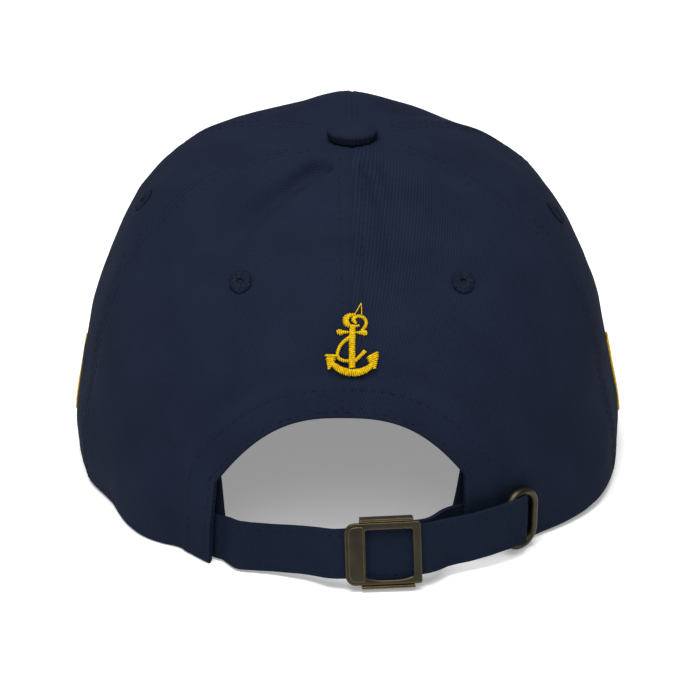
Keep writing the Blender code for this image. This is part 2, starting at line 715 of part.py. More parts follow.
def strip_mesh(strip):
    """Strip of doubled cloth that follows its course."""
    last = len(strip.course) - 1

    def place(across, up, face):
        middle, _, _, outward = axes_of(lambda at, rise: held_point(strip, at, rise), across * last, up)
        return middle + outward * (0.5 - face) * strip.wall

    return sheet(place, last * STEPS_PER_COURSE, STRIP_ROWS)


def course_share(course, azimuth):
    """Place on a course, counted in its rows, where it passes an azimuth in degrees."""
    return float(np.interp(azimuth, column(course, "azimuth"), np.arange(len(course))))


def ring_height():
    """Height of the strap's middle where it goes through the slot ring."""
    along = course_share(STRAP_COURSE, RING_AZIMUTH)
    low = float(smooth(np.arange(len(STRAP_COURSE)), column(STRAP_COURSE, "low"), along))
    return (low + 0.5) * STRAP_WIDTH


def as_matrix(east, up, outward, origin):
    """Placement whose axes are the given directions."""
    matrix = Matrix.Identity(4)
    for index, axis in enumerate((east, up, outward, origin)):
        for row in range(3):
            matrix[row][index] = float(axis[row])
    return matrix


def rounded_edges(piece, width):
    bevel = piece.modifiers.new("worn_edges", "BEVEL")
    bevel.width = width
    bevel.segments = 1
    bevel.limit_method = "ANGLE"
    bevel.angle_limit = SMOOTH_ANGLE


def make_buckle(group, root):
    """Channel behind the strap with a lip above and below it, and a lever frame clamped over the strap."""
    origin, forward, upward, outward = buckle_axes()
    axes = as_matrix(forward, upward, outward, origin)
    half_width, half_height = LEVER_WIDTH / 2, LEVER_HEIGHT / 2
    outer = round_outline(
        -half_width, half_width, -half_height, half_height,
        [LEVER_CORNER, LEVER_RIM / 2, LEVER_RIM / 2, LEVER_CORNER],
    )
    window = round_outline(
        LEVER_BAR - half_width, half_width - LEVER_SIDE, LEVER_RIM - half_height, half_height - LEVER_RIM,
        [LEVER_RIM / 2] * 4,
    )
    lever = keep("buckle_lever", flat_outline("lever", [outer, window], LEVER_WALL), BRASS, group, root)
    lever_out = STRAP_WALL / 2 + BUCKLE_GAP + LEVER_WALL / 2
    lever.matrix_world = axes @ Matrix.Translation((0.0, 0.0, lever_out))
    rounded_edges(lever, BRASS_ROUND)

    back = -STRAP_WALL / 2 - BUCKLE_GAP - BASE_WALL
    front = lever_out + LEVER_WALL / 2
    inner = LEVER_HEIGHT / 2 + GAP
    channel = [
        (back, -inner - BASE_WALL), (front, -inner - BASE_WALL), (front, -inner), (back + BASE_WALL, -inner),
        (back + BASE_WALL, inner), (front, inner), (front, inner + BASE_WALL), (back, inner + BASE_WALL),
    ]
    base = keep("buckle_base", flat_outline("base", [channel], BASE_WIDTH), BRASS, group, root)
    swap = Matrix(((0, 0, -1, BASE_OFFSET), (0, 1, 0, 0), (1, 0, 0, 0), (0, 0, 0, 1)))
    base.matrix_world = axes @ swap
    rounded_edges(base, BRASS_ROUND)


def make_slot_ring(group, root):
    """Ring of brass wire round the slot that takes the strap's end."""
    half_width = RING_WIDTH / 2 - RING_WIRE
    half_height = STRAP_WIDTH / 2 + BUCKLE_GAP + RING_WIRE
    curve = bpy.data.curves.new("ring", "CURVE")
    curve.dimensions = "3D"
    curve.bevel_depth = RING_WIRE
    curve.bevel_resolution = RING_STEPS
    path = round_outline(-half_width, half_width, -half_height, half_height, [RING_CORNER] * 4)
    spline = curve.splines.new("POLY")
    spline.points.add(len(path) - 1)
    for point, (x, y) in zip(spline.points, path):
        point.co = (x, y, 0.0, 1.0)
    spline.use_cyclic_u = True
    mesh = curve_mesh(curve)
    mesh.transform(Matrix.Diagonal((1.0, 1.0, RING_DEPTH / RING_WIRE, 1.0)))
    ring = keep("slot_ring", mesh, BRASS, group, root)
    ring.matrix_world = standing(math.radians(RING_AZIMUTH), ring_height(), LINING_GAP + RING_DEPTH)


def stroke_mesh(stroke):
    """Padded satin stroke: a tube whose radius changes along it."""
    curve = bpy.data.curves.new("stroke", "CURVE")
    curve.dimensions = "3D"
    curve.bevel_depth = 1.0
    curve.bevel_resolution = 1
    curve.use_fill_caps = True
    curve.resolution_u = ANCHOR_STEPS
    curve.render_resolution_u = ANCHOR_STEPS
    spline = curve.splines.new("BEZIER")
    spline.bezier_points.add(len(stroke) - 1)
    for point, stitch in zip(spline.bezier_points, stroke):
        point.co = (stitch.x * ANCHOR_HEIGHT, stitch.y * ANCHOR_HEIGHT, 0.0)
        point.radius = stitch.radius * ANCHOR_HEIGHT
        point.handle_left_type = "AUTO"
        point.handle_right_type = "AUTO"
    return curve_mesh(curve)


def make_anchor(group, cutters, root):
    """Embroidered anchor on the back seam: the strokes joined, flattened and laid on the cloth."""
    meshes = [stroke_mesh(stroke) for stroke in ANCHOR_STROKES]
    blank = keep("anchor_blank", meshes[0], THREAD, group, root)
    for index, mesh in enumerate(meshes[1:]):
        stroke = keep(f"anchor_stroke_{index}", mesh, THREAD, group, root)
        as_cutter(stroke, cutters)
        combine(blank, stroke, "UNION")
    joined = welded(baked_mesh(blank))
    bpy.data.objects.remove(blank)
    joined.transform(Matrix.Diagonal((1.0, 1.0, ANCHOR_FLATTEN, 1.0)))
    thickest = max(stitch.radius for stroke in ANCHOR_STROKES for stitch in stroke) * ANCHOR_HEIGHT
    gap = GAP + thickest * ANCHOR_FLATTEN
    keep("anchor", lay_on_crown(joined, 0.0, ANCHOR_FOOT * CROWN_HEIGHT, gap), THREAD, group, root)


def make_side_bars(group, root):
    """Plain gold bar on each side."""

    def place(across, up, face):
        out = np.full_like(up, (1.0 - face) * BAR_WALL)
        return np.stack([(across - 0.5) * BAR_WIDTH, up * BAR_HEIGHT, out], axis=-1)

    for side, azimuth in (("left", BAR_LEFT_AZIMUTH), ("right", BAR_RIGHT_AZIMUTH)):
        flat = sheet(place, BAR_COLUMNS, BAR_ROWS)
        bar = lay_on_crown(flat, math.radians(azimuth), BAR_FOOT * CROWN_HEIGHT, GAP)
        keep(f"side_bar_{side}", bar, THREAD, group, root)


def stand_on_floor(group, root):
    """Moves the whole cap so that the middle of its foot is at the origin."""
    bpy.context.view_layer.update()
    graph = bpy.context.evaluated_depsgraph_get()
    corners = np.array(
        [
            piece.matrix_world @ Vector(corner)
            for piece in group.objects
            if piece.type == "MESH"
            for corner in piece.evaluated_get(graph).bound_box
        ]
    )
    low, high = corners.min(axis=0), corners.max(axis=0)
    root.location = (-(low[0] + high[0]) / 2.0, -(low[1] + high[1]) / 2.0, -low[2])


def main():
    for old in list(bpy.data.objects):
        bpy.data.objects.remove(old)
    group = collection(COLLECTION)
    cutters = collection("cutters")
    cutters.hide_render = True
    root = bpy.data.objects.new("cap", None)
    group.objects.link(root)
    panels = make_panels(group, cutters, root)
    make_eyelets(panels, group, cutters, root)
    make_button(group, root)
    keep("peak", sheet(peak_place, PEAK_COLUMNS, PEAK_ROWS), TWILL, group, root)
    keep("sweatband", sheet(sweatband_place, SWEATBAND_COLUMNS, SWEATBAND_ROWS), TWILL, group, root)
    keep("strap", strip_mesh(STRAP), TWILL, group, root)
    keep("buckle_tab", strip_mesh(TAB), TWILL, group, root)
    make_buckle(group, root)
    make_slot_ring(group, root)
    make_anchor(group, cutters, root)
    make_side_bars(group, root)
    stand_on_floor(group, root)


main()
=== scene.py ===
# Navy cotton twill cap seen from behind: six sewn panels with a folded hem round the opening, a strap with
# an aged brass buckle, and gold satin embroidery, on a white studio floor.
# Metres. The peak points to +Y, the opening to -Y, and the camera looks from -Y.
import math
from collections import namedtuple

import bmesh
import bpy
import numpy as np
from mathutils import Matrix, Vector


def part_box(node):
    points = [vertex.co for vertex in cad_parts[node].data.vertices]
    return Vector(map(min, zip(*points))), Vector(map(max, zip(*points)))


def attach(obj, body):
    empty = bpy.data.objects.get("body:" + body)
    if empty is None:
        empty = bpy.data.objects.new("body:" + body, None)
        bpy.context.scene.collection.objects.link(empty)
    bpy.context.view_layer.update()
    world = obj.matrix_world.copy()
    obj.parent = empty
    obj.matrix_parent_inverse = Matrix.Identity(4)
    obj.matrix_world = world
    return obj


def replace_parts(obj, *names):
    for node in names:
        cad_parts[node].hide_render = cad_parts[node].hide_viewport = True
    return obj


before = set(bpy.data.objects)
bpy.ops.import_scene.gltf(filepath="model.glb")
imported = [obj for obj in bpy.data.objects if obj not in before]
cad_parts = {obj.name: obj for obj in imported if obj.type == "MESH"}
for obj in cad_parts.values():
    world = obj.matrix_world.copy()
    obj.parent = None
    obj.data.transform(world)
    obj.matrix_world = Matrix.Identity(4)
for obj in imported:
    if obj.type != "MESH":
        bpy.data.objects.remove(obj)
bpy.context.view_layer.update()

MM = 0.001

# The crown's axis goes through the middle of the button
BUTTON_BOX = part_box("button")
AXIS = Vector(((BUTTON_BOX[0][0] + BUTTON_BOX[1][0]) / 2, (BUTTON_BOX[0][1] + BUTTON_BOX[1][1]) / 2, 0.0))

# Crown: the solids' own form. Reaches are measured from the axis, sections from the rim to the top.
CROWN_HEIGHT = 0.1035
CROWN_LEFT = 0.088
CROWN_RIGHT = 0.0855
CROWN_BACK = 0.097
CROWN_FRONT = 0.100
PLAN_POWER = 2.12
PANEL_WALL = 0.002
PANEL_TOP = 0.985
FOOT_SQUARE = 0.06
LINING_GAP = 0.0006
WAY_STEPS = 401
Section = namedtuple("Section", "way height left right back front")
SECTIONS = (
    Section(0.00, 0.00, 0.994, 1.000, 1.000, 0.990),
    Section(0.08, 0.12, 1.005, 1.000, 1.000, 1.000),
    Section(0.19, 0.30, 0.975, 0.965, 0.980, 1.000),
    Section(0.33, 0.50, 0.929, 0.913, 0.918, 0.960),
    Section(0.46, 0.68, 0.848, 0.825, 0.804, 0.880),
    Section(0.60, 0.82, 0.755, 0.710, 0.634, 0.765),
    Section(0.74, 0.92, 0.612, 0.515, 0.428, 0.620),
    Section(0.88, 0.98, 0.300, 0.280, 0.206, 0.380),
    Section(1.00, 1.00, 0.000, 0.000, 0.000, 0.000),
)
Seam = namedtuple("Seam", "up back_side side_front")
SEAMS = (
    Seam(0.00, 73.0, 118.0),
    Seam(0.46, 71.0, 118.0),
    Seam(0.70, 62.0, 120.0),
    Seam(1.00, 60.0, 120.0),
)

# Dents (depth above 0) and swellings (below 0), each along a line from a to b, as shares of the two sizes
FOLD_DEPTH = 0.003
FOLD_SPREAD = 0.010
FOLD_NEAR = 0.1
Fold = namedtuple("Fold", "azimuth_a way_a azimuth_b way_b depth_a depth_b spread_a spread_b")
FOLDS = (
    Fold(-22.0, 0.88, -35.0, 0.61, 0.70, 0.50, 0.45, 0.90),
    Fold(13.0, 0.88, 11.5, 0.59, 0.45, 0.30, 0.40, 0.60),
    Fold(-177.0, 0.60, -177.0, 0.86, -1.20, -1.10, 1.30, 1.20),
    Fold(-24.5, 0.00, -24.5, 0.06, -1.50, -1.20, 1.10, 1.10),
    Fold(-44.0, 0.00, -44.0, 0.05, -1.10, -0.80, 1.30, 1.30),
    Fold(-62.0, 0.00, -62.0, 0.06, 0.80, 0.50, 1.30, 1.30),
    Fold(40.0, 0.00, 40.0, 0.05, 0.60, 0.50, 1.40, 1.40),
    Fold(60.0, 0.00, 60.0, 0.06, -0.60, -0.40, 1.80, 1.80),
)

# Softer creases of the cloth that the solids leave out
CREASES = (
    Fold(-22.0, 0.88, -35.0, 0.61, 0.85, 0.45, 0.28, 0.50),
    Fold(13.0, 0.88, 11.5, 0.59, 0.55, 0.30, 0.26, 0.40),
    Fold(-24.0, 0.00, -24.0, 0.10, -0.50, -0.10, 0.50, 0.50),
    Fold(62.0, 0.86, 74.0, 0.72, 0.30, 0.35, 0.35, 0.50),
    Fold(-66.0, 0.86, -76.0, 0.72, 0.18, 0.18, 0.30, 0.40),
    Fold(142.0, 0.86, 138.0, 0.74, 0.45, 0.35, 0.60, 0.80),
    Fold(-34.0, 0.50, -52.0, 0.36, 0.16, 0.12, 0.70, 0.80),
    Fold(44.0, 0.44, 62.0, 0.34, 0.16, 0.14, 0.70, 0.90),
    Fold(-58.0, 0.22, -40.0, 0.30, 0.12, 0.12, 0.60, 0.60),
    Fold(30.0, 0.30, 56.0, 0.24, 0.14, 0.10, 0.60, 0.80),
)

# Rise of the rim from the back to the middle of the peak
PEAK_WALL = 0.0035
RIM_RISE = 0.018
GAP = 0.0003
Rise = namedtuple("Rise", "azimuth corner front")
RISES = (
    Rise(-180.0, 1.00, 1.00),
    Rise(-152.0, 1.00, 0.80),
    Rise(-125.0, 1.00, 0.34),
    Rise(-102.0, 1.00, 0.00),
    Rise(-60.0, 0.00, 0.00),
    Rise(28.0, 0.00, 0.00),
    Rise(50.0, 0.25, 0.00),
    Rise(102.0, 1.00, 0.00),
    Rise(125.0, 1.00, 0.34),
    Rise(152.0, 1.00, 0.80),
    Rise(180.0, 1.00, 1.00),
)

# Peak
PEAK_SPAN = math.radians(76.0)
PEAK_HALF_WIDTH = 0.084
PEAK_REACH = 0.068
PEAK_CORNER = 0.006
PEAK_SEWN = 0.0006
PEAK_RISE = 0.012
PEAK_REST = 0.62
PEAK_SIDE_POWER = 2.2
PEAK_FRONT_POWER = 2.3
PEAK_STITCH_ROWS = 6
PEAK_FIRST_ROW = 0.14
PEAK_LAST_ROW = 0.94

# Arched opening
ARCH_LEFT = 0.0405
ARCH_RIGHT = 0.0335
ARCH_CROWN = -0.002
ARCH_HEIGHT = 0.0469
ARCH_LEFT_CORNER = 0.0246
ARCH_RIGHT_CORNER = 0.0278
ARCH_POWER = 2.6
ARCH_POINTS = 48

# Relief of the sewing on the panels
HEM_WIDTH = 0.0098
HEM_STEP = 0.0012
HEM_RISE = 0.00045
HEM_HOLLOW = 0.0007
HEM_HOLLOW_REACH = 0.003
HEM_ROWS = (0.0016, 0.0078)
SEAM_SINK = 0.00022
SEAM_REACH = 0.00045
ROW_OFFSET = 0.0026
ROW_SINK = 0.00007
ROW_REACH = 0.0007
SEAM_PUFF = 0.00008
Wave = namedtuple("Wave", "length height")
WAVES = (Wave(0.045, 0.00030), Wave(0.021, 0.00014), Wave(0.009, 0.00005))
WAVE_DIRECTIONS = 5

# Sewing thread
STITCH_LENGTH = 0.0024
STITCH_PITCH = 0.0029
STITCH_RADIUS = 0.00015
STITCH_LIFT = 0.00003
STITCH_SINK = 0.0002

# Strap and tab, as in the solids
STRAP_WIDTH = 0.0142
STRAP_WALL = 0.0016
Course = namedtuple("Course", "azimuth inside proud low lean")
STRAP_COURSE = (
    Course(-46.0, 1.00, 0.00, 0.06, 0.00),
    Course(-36.0, 1.00, 0.00, 0.05, 0.00),
    Course(-24.8, 1.00, 0.00, 0.05, 0.00),
    Course(-20.0, 0.10, 0.20, 0.06, 0.03),
    Course(-16.0, 0.00, 0.23, 0.07, 0.06),
    Course(-9.0, 0.00, 0.34, 0.13, 0.18),
    Course(-2.0, 0.00, 0.63, 0.225, 0.26),
    Course(5.4, 0.00, 0.68, 0.272, 0.24),
    Course(13.0, 0.00, 0.56, 0.25, 0.10),
    Course(20.0, 0.00, 0.41, 0.23, 0.00),
    Course(26.0, 0.00, 0.40, 0.27, 0.00),
    Course(30.5, 0.00, 0.38, 0.29, 0.00),
    Course(33.4, 0.00, 0.335, 0.29, 0.00),
    Course(35.2, 0.00, 0.18, 0.29, 0.00),
    Course(36.4, 0.16, 0.06, 0.29, 0.00),
    Course(38.4, 1.00, 0.00, 0.29, 0.00),
    Course(42.0, 1.00, 0.00, 0.27, 0.00),
    Course(50.0, 1.00, 0.00, 0.22, 0.00),
    Course(58.0, 1.00, 0.00, 0.20, 0.00),
)
TAB_WALL = 0.0016
TAB_COURSE = (
    Course(9.0, 0.00, 0.30, 0.24, 0.24),
    Course(14.0, 0.10, 0.16, 0.24, 0.12),
    Course(21.0, 1.00, 0.00, 0.24, 0.00),
    Course(27.0, 1.00, 0.00, 0.24, 0.00),
    Course(33.0, 1.00, 0.00, 0.24, 0.00),
)
BUCKLE_EASE = 0.008
STRAP_ROW = 0.0016
# The strap hangs lower in the buckle's window than beside it
STRAP_HANG = 0.0012
HANG_AZIMUTH = 6.0
HANG_SPREAD = 4.5

# Sweatband: its ends slant, so that they show most beside the strap and not at all at the arch
SWEATBAND_HEIGHT = 0.032
SWEATBAND_WALL = 0.0012
SWEATBAND_LIFT = 0.001
SWEATBAND_SHOWS = 0.008
SWEATBAND_LEFT_CLOSES = 0.74
SWEATBAND_RIGHT_CLOSES = 0.80
SWEATBAND_COLUMNS = 160
SWEATBAND_ROWS = 10
TUCK_PAST = 3.0
TUCK_FADE = 14.0

# Buckle and ring
BUCKLE_AZIMUTH = 4.8
LEVER_WIDTH = 0.0226
LEVER_HEIGHT = 0.0186
LEVER_WALL = 0.0014
LEVER_CORNER = 0.003
LEVER_BAR = 0.0061
LEVER_SIDE = 0.0024
LEVER_RIM = 0.0018
LEVER_TOP = 0.0021
LEVER_FOOT = 0.0013
LEVER_SAG = 0.0011
BASE_WIDTH = 0.0158
BASE_OFFSET = 0.0013
BASE_WALL = 0.0008
BUCKLE_GAP = 0.0005
BRASS_ROUND = 0.00035
RING_AZIMUTH = 34.3
RING_WIDTH = 0.0132
RING_WIRE = 0.0012
RING_DEPTH = 0.0015
RING_CORNER = 0.0050
RING_DROP = 0.0008

# Offset is the distance of a strip's middle from the strap's middle where the buckle holds both
Strip = namedtuple("Strip", "course wall offset")
STRAP = Strip(STRAP_COURSE, STRAP_WALL, 0.0)
TAB = Strip(TAB_COURSE, TAB_WALL, -(STRAP_WALL + TAB_WALL) / 2.0 - BASE_WALL - 2.0 * BUCKLE_GAP)

# Button and eyelets
BUTTON_RADIUS = 0.008
BUTTON_HEIGHT = 0.0047
BUTTON_EDGE = 0.0016
BUTTON_PLEATS = 9
BUTTON_PLEAT_DEPTH = 0.00012
EYELET_RING = 0.0024
EYELET_THREAD = 0.00135
EYELET_FLATTEN = 0.28
EYELET_STITCHES = 44
Eyelet = namedtuple("Eyelet", "name azimuth height")
EYELETS = (
    Eyelet("back_left", -27.0, 0.763),
    Eyelet("back_right", 29.0, 0.760),
    Eyelet("side_left", -82.0, 0.830),
    Eyelet("side_right", 84.5, 0.784),
    Eyelet("front_left", -151.0, 0.800),
    Eyelet("front_right", 151.0, 0.800),
)

# Anchor, in shares of its height: x to the right, y from its lowest point up, radius of the satin
ANCHOR_HEIGHT = 0.0203
ANCHOR_FOOT = 0.564
ANCHOR_FLATTEN = 0.35
ANCHOR_LIFT = 0.0003
# Real satin threads lie about 0.3 mm apart; they are drawn coarser, so that a photo of this size can hold them
SATIN_PITCH = 0.00055
SATIN_RADIUS = 0.0003
SATIN_COVER = 0.00012
SATIN_SLANT = 0.22
Stitch = namedtuple("Stitch", "x y radius")
ANCHOR_STROKES = (
    (Stitch(0.005, 0.75, 0.036), Stitch(0.00, 0.55, 0.042), Stitch(0.00, 0.13, 0.042)),
    (Stitch(-0.195, 0.653, 0.030), Stitch(-0.165, 0.653, 0.048), Stitch(-0.11, 0.654, 0.026),
     Stitch(0.115, 0.646, 0.026), Stitch(0.165, 0.644, 0.047), Stitch(0.20, 0.644, 0.030)),
    (Stitch(-0.308, 0.203, 0.036), Stitch(-0.223, 0.132, 0.042), Stitch(-0.111, 0.071, 0.050),
     Stitch(0.009, 0.051, 0.053), Stitch(0.129, 0.066, 0.050), Stitch(0.248, 0.124, 0.042),
     Stitch(0.317, 0.185, 0.036)),
    (Stitch(-0.285, 0.29, 0.095), Stitch(-0.308, 0.194, 0.055), Stitch(-0.326, 0.095, 0.014)),
    (Stitch(0.30, 0.30, 0.10), Stitch(0.317, 0.22, 0.075), Stitch(0.328, 0.11, 0.022)),
    (Stitch(0.034, 0.948, 0.018), Stitch(-0.034, 0.936, 0.032), Stitch(-0.077, 0.892, 0.042),
     Stitch(-0.081, 0.83, 0.044), Stitch(-0.046, 0.768, 0.036), Stitch(0.017, 0.75, 0.024),
     Stitch(0.091, 0.763, 0.012)),
    (Stitch(0.046, 0.807, 0.018), Stitch(0.012, 0.856, 0.026), Stitch(0.029, 0.90, 0.026),
     Stitch(0.086, 0.922, 0.022), Stitch(0.163, 0.892, 0.022), Stitch(0.197, 0.817, 0.022),
     Stitch(0.176, 0.733, 0.022), Stitch(0.137, 0.68, 0.020)),
    (Stitch(-0.026, 0.574, 0.026), Stitch(-0.111, 0.503, 0.024), Stitch(-0.18, 0.397, 0.022),
     Stitch(-0.20, 0.30, 0.022), Stitch(-0.171, 0.247, 0.022), Stitch(-0.094, 0.221, 0.022),
     Stitch(0.009, 0.221, 0.022)),
    (Stitch(0.043, 0.221, 0.024), Stitch(0.111, 0.291, 0.024), Stitch(0.18, 0.358, 0.030)),
)

# Plain gold bars on both sides
BAR_WIDTH = 0.007
BAR_HEIGHT = 0.024
BAR_FOOT = 0.141
BAR_LEFT_AZIMUTH = -88.0
BAR_RIGHT_AZIMUTH = 88.0

# The stray thread over the anchor's ring: x, y and height in shares of the anchor's height
ANCHOR_TAIL = (
    (0.034, 0.936, 0.05), (0.08, 1.03, 0.06), (0.12, 1.121, 0.05), (0.127, 1.02, 0.04), (0.129, 0.927, 0.03),
)
TAIL_RADIUS = 0.00014

# Fineness of the meshes
NUDGE = 1e-3
LAY_TURN = 0.08
WELD = 1e-5
SMOOTH_ANGLE = math.radians(40.0)
GRADE = 0.7
ARCH_COLUMNS = 40
SIDE_COLUMNS = 46
PANEL_LOW_ROWS = 26
PANEL_HIGH_ROWS = 92
EDGE_ROUND = 0.0010
EDGE_SHARE = 0.85
SEAM_LAP = 0.00006
STRIP_ROUND = 0.0003
STRIP_ROWS = 14
STRIP_STEPS = 12
STRIP_SLACK = 0.0001
PEAK_ROUND = 0.0006
STITCH_STEPS = 6
STITCH_SIDES = 5
SATIN_STEPS = 9
SATIN_SIDES = 5
EYELET_STITCH_RADIUS = 0.00026

# Camera: the photo's height above the floor, distance and framing
CAMERA_ELEVATION = math.radians(21.2)
CAMERA_DISTANCE = 1.10
CAMERA_FROM = Vector((0.0, 0.0, 0.050))
CAMERA_AIM = Vector((-0.0007, 0.0, 0.0318))
CAMERA_LENS = 177.6
SENSOR = 36.0

# Studio
FLOOR_SIZE = 12.0
FLOOR_GLOW = 0.29
SURROUND = 0.32
Light = namedtuple("Light", "name x y z size power")
LIGHTS = (
    Light("overhead softbox", -0.15, -0.35, 1.5, 1.2, 27.0),
    Light("softbox over the camera", -0.1, -1.4, 1.3, 0.8, 4.5),
)
CORNER_STEPS = 8
WINDOW_STEPS = 17
RING_SIDES = 20
BORDER_WALL = 0.0005


def smooth(places, values, at):
    """Monotone cubic through the rows of a table, so nothing swells past a row."""
    places = np.asarray(places, float)
    values = np.asarray(values, float)
    steps = np.diff(places)
    slopes = np.diff(values) / steps
    tangents = np.concatenate(([slopes[0]], np.zeros(len(steps) - 1), [slopes[-1]]))
    before, after = slopes[:-1], slopes[1:]
    same_way = before * after > 0.0
    safe_before = np.where(same_way, before, 1.0)
    safe_after = np.where(same_way, after, 1.0)
    tangents[1:-1] = np.where(same_way, 2.0 / (1.0 / safe_before + 1.0 / safe_after), 0.0)
    at = np.clip(np.asarray(at, float), places[0], places[-1])
    span = np.clip(np.searchsorted(places, at, side="right") - 1, 0, len(steps) - 1)
    share = (at - places[span]) / steps[span]
    start, end = values[span], values[span + 1]
    lean_start, lean_end = tangents[span] * steps[span], tangents[span + 1] * steps[span]
    square, cube = share**2, share**3
    return (
        start * (2 * cube - 3 * square + 1)
        + lean_start * (cube - 2 * square + share)
        + end * (3 * square - 2 * cube)
        + lean_end * (cube - square)
    )


def column(table, name):
    return [getattr(row, name) for row in table]


def read(table, key, name, at):
    return smooth(column(table, key), column(table, name), at)


def signed_power(value, power):
    return np.sign(value) * np.abs(value) ** power


def ease(value):
    value = np.clip(value, 0.0, 1.0)
    return value * value * (3.0 - 2.0 * value)


def bell(value):
    return np.exp(-(value**2))


def unit(vectors):
    return vectors / np.linalg.norm(vectors, axis=-1, keepdims=True)


def crown_form(azimuth, way):
    """Crown without its folds: azimuth in radians from the back seam, way from the rim to the top."""
    sine, cosine = np.sin(azimuth), np.cos(azimuth)
    left = CROWN_LEFT * read(SECTIONS, "way", "left", way)
    right = CROWN_RIGHT * read(SECTIONS, "way", "right", way)
    back = CROWN_BACK * read(SECTIONS, "way", "back", way)
    front = CROWN_FRONT * read(SECTIONS, "way", "front", way)
    x = signed_power(sine, 2.0 / PLAN_POWER) * np.where(sine < 0.0, left, right)
    y = -signed_power(cosine, 2.0 / PLAN_POWER) * np.where(cosine > 0.0, back, front)
    z = CROWN_HEIGHT * read(SECTIONS, "way", "height", way)
    return np.stack([x, y, z + 0.0 * x], axis=-1)


def facing(form, azimuth, way):
    """Outward normal of a surface given as form(azimuth, way)."""
    east = form(azimuth + NUDGE, way) - form(azimuth - NUDGE, way)
    up = form(azimuth, np.minimum(way + NUDGE, 1.0)) - form(azimuth, np.maximum(way - NUDGE, 0.0))
    return unit(np.cross(east, up))


def levelled(outward, way):
    """Normals turned level towards the rim, so that the rim is cut square."""
    share = np.stack([np.ones_like(way), np.ones_like(way), ease(way / FOOT_SQUARE)], axis=-1)
    return unit(outward * share)


def folded(folds, points, outward):
    """How far a table of folds sinks the points."""
    sink = np.zeros(points.shape[:-1])
    for fold in folds:
        start = crown_form(math.radians(fold.azimuth_a), np.float64(fold.way_a))
        line = crown_form(math.radians(fold.azimuth_b), np.float64(fold.way_b)) - start
        along = np.clip((points - start) @ line / (line @ line), 0.0, 1.0)
        aside = points - start - along[..., None] * line
        height = np.sum(aside * outward, axis=-1)
        reach = np.sum(aside**2, axis=-1) - (1.0 - FOLD_NEAR) * height**2
        depth = FOLD_DEPTH * (fold.depth_a + (fold.depth_b - fold.depth_a) * along)
        spread = FOLD_SPREAD * (fold.spread_a + (fold.spread_b - fold.spread_a) * along)
        sink += depth * np.exp(-reach / spread**2)
    return sink


def crown_surface(azimuth, way):
    """Outside of the solids' cloth, with its dents and swellings."""
    azimuth, way = np.broadcast_arrays(np.asarray(azimuth, float), np.asarray(way, float))
    points = crown_form(azimuth, way)
    outward = levelled(facing(crown_form, azimuth, way), way)
    return points - folded(FOLDS, points, outward)[..., None] * outward


def crown_point(azimuth, way, depth):
    """Point at a depth in the solids' cloth, measured inwards."""
    azimuth, way = np.broadcast_arrays(np.asarray(azimuth, float), np.asarray(way, float))
    outward = levelled(facing(crown_surface, azimuth, way), way)
    depth = np.broadcast_to(np.asarray(depth, float), azimuth.shape)
    return crown_surface(azimuth, way) - depth[..., None] * outward


def way_at(height):
    """Way at which the crown reaches a height."""
    ways = np.linspace(0.0, 1.0, WAY_STEPS)
    return np.interp(np.asarray(height, float) / CROWN_HEIGHT, read(SECTIONS, "way", "height", ways), ways)


def azimuth_at(x, way):
    """Azimuth on the back half of the crown at which it reaches x."""
    left = CROWN_LEFT * read(SECTIONS, "way", "left", way)
    right = CROWN_RIGHT * read(SECTIONS, "way", "right", way)
    share = np.clip(np.abs(x) / np.where(x < 0.0, left, right), 0.0, 1.0)
    return np.sign(x) * np.arcsin(share ** (PLAN_POWER / 2.0))


def rim_height(azimuth):
    """Height of the rim's cloth above the surface that the cap rests on."""
    turned = np.degrees((azimuth + math.pi) % (2.0 * math.pi) - math.pi)
    corner = PEAK_WALL + GAP
    return (
        corner * read(RISES, "azimuth", "corner", turned)
        + (RIM_RISE - corner) * read(RISES, "azimuth", "front", turned)
    )


def seam(side, up):
    """Azimuth of a named seam at a share of a panel's height."""
    fixed = {"back": 0.0, "front": 180.0}
    if side in fixed:
        return np.radians(fixed[side]) + 0.0 * up
    return np.radians(read(SEAMS, "up", side, up))


def arch_height(x):
    """Height of the arch's edge over x."""
    left = x < ARCH_CROWN
    corner = np.where(left, ARCH_LEFT_CORNER, ARCH_RIGHT_CORNER)
    half = np.where(left, ARCH_LEFT + ARCH_CROWN, ARCH_RIGHT - ARCH_CROWN)
    share = np.clip(np.abs(x - ARCH_CROWN) / half, 0.0, 1.0)
    return corner + (ARCH_HEIGHT - corner) * (1.0 - share**ARCH_POWER)


def arch_line(away):
    """Line in the x-z plane at a distance outside the arch, from its left foot to its right foot."""
    x = ARCH_CROWN + np.concatenate(
        [
            -(ARCH_LEFT + ARCH_CROWN) * np.linspace(1.0, 0.0, ARCH_POINTS),
            (ARCH_RIGHT - ARCH_CROWN) * np.linspace(0.0, 1.0, ARCH_POINTS)[1:],
        ]
    )
    left_feet = np.linspace(0.0, ARCH_LEFT_CORNER, ARCH_POINTS)[:-1]
    right_feet = np.linspace(ARCH_RIGHT_CORNER, 0.0, ARCH_POINTS)[1:]
    x = np.concatenate([np.full_like(left_feet, -ARCH_LEFT), x, np.full_like(right_feet, ARCH_RIGHT)])
    z = np.concatenate([left_feet, arch_height(x[len(left_feet):-len(right_feet)]), right_feet])
    line = np.stack([x, z], axis=-1)
    forward = unit(np.gradient(line, axis=0))
    return line + away * np.stack([-forward[:, 1], forward[:, 0]], axis=-1)


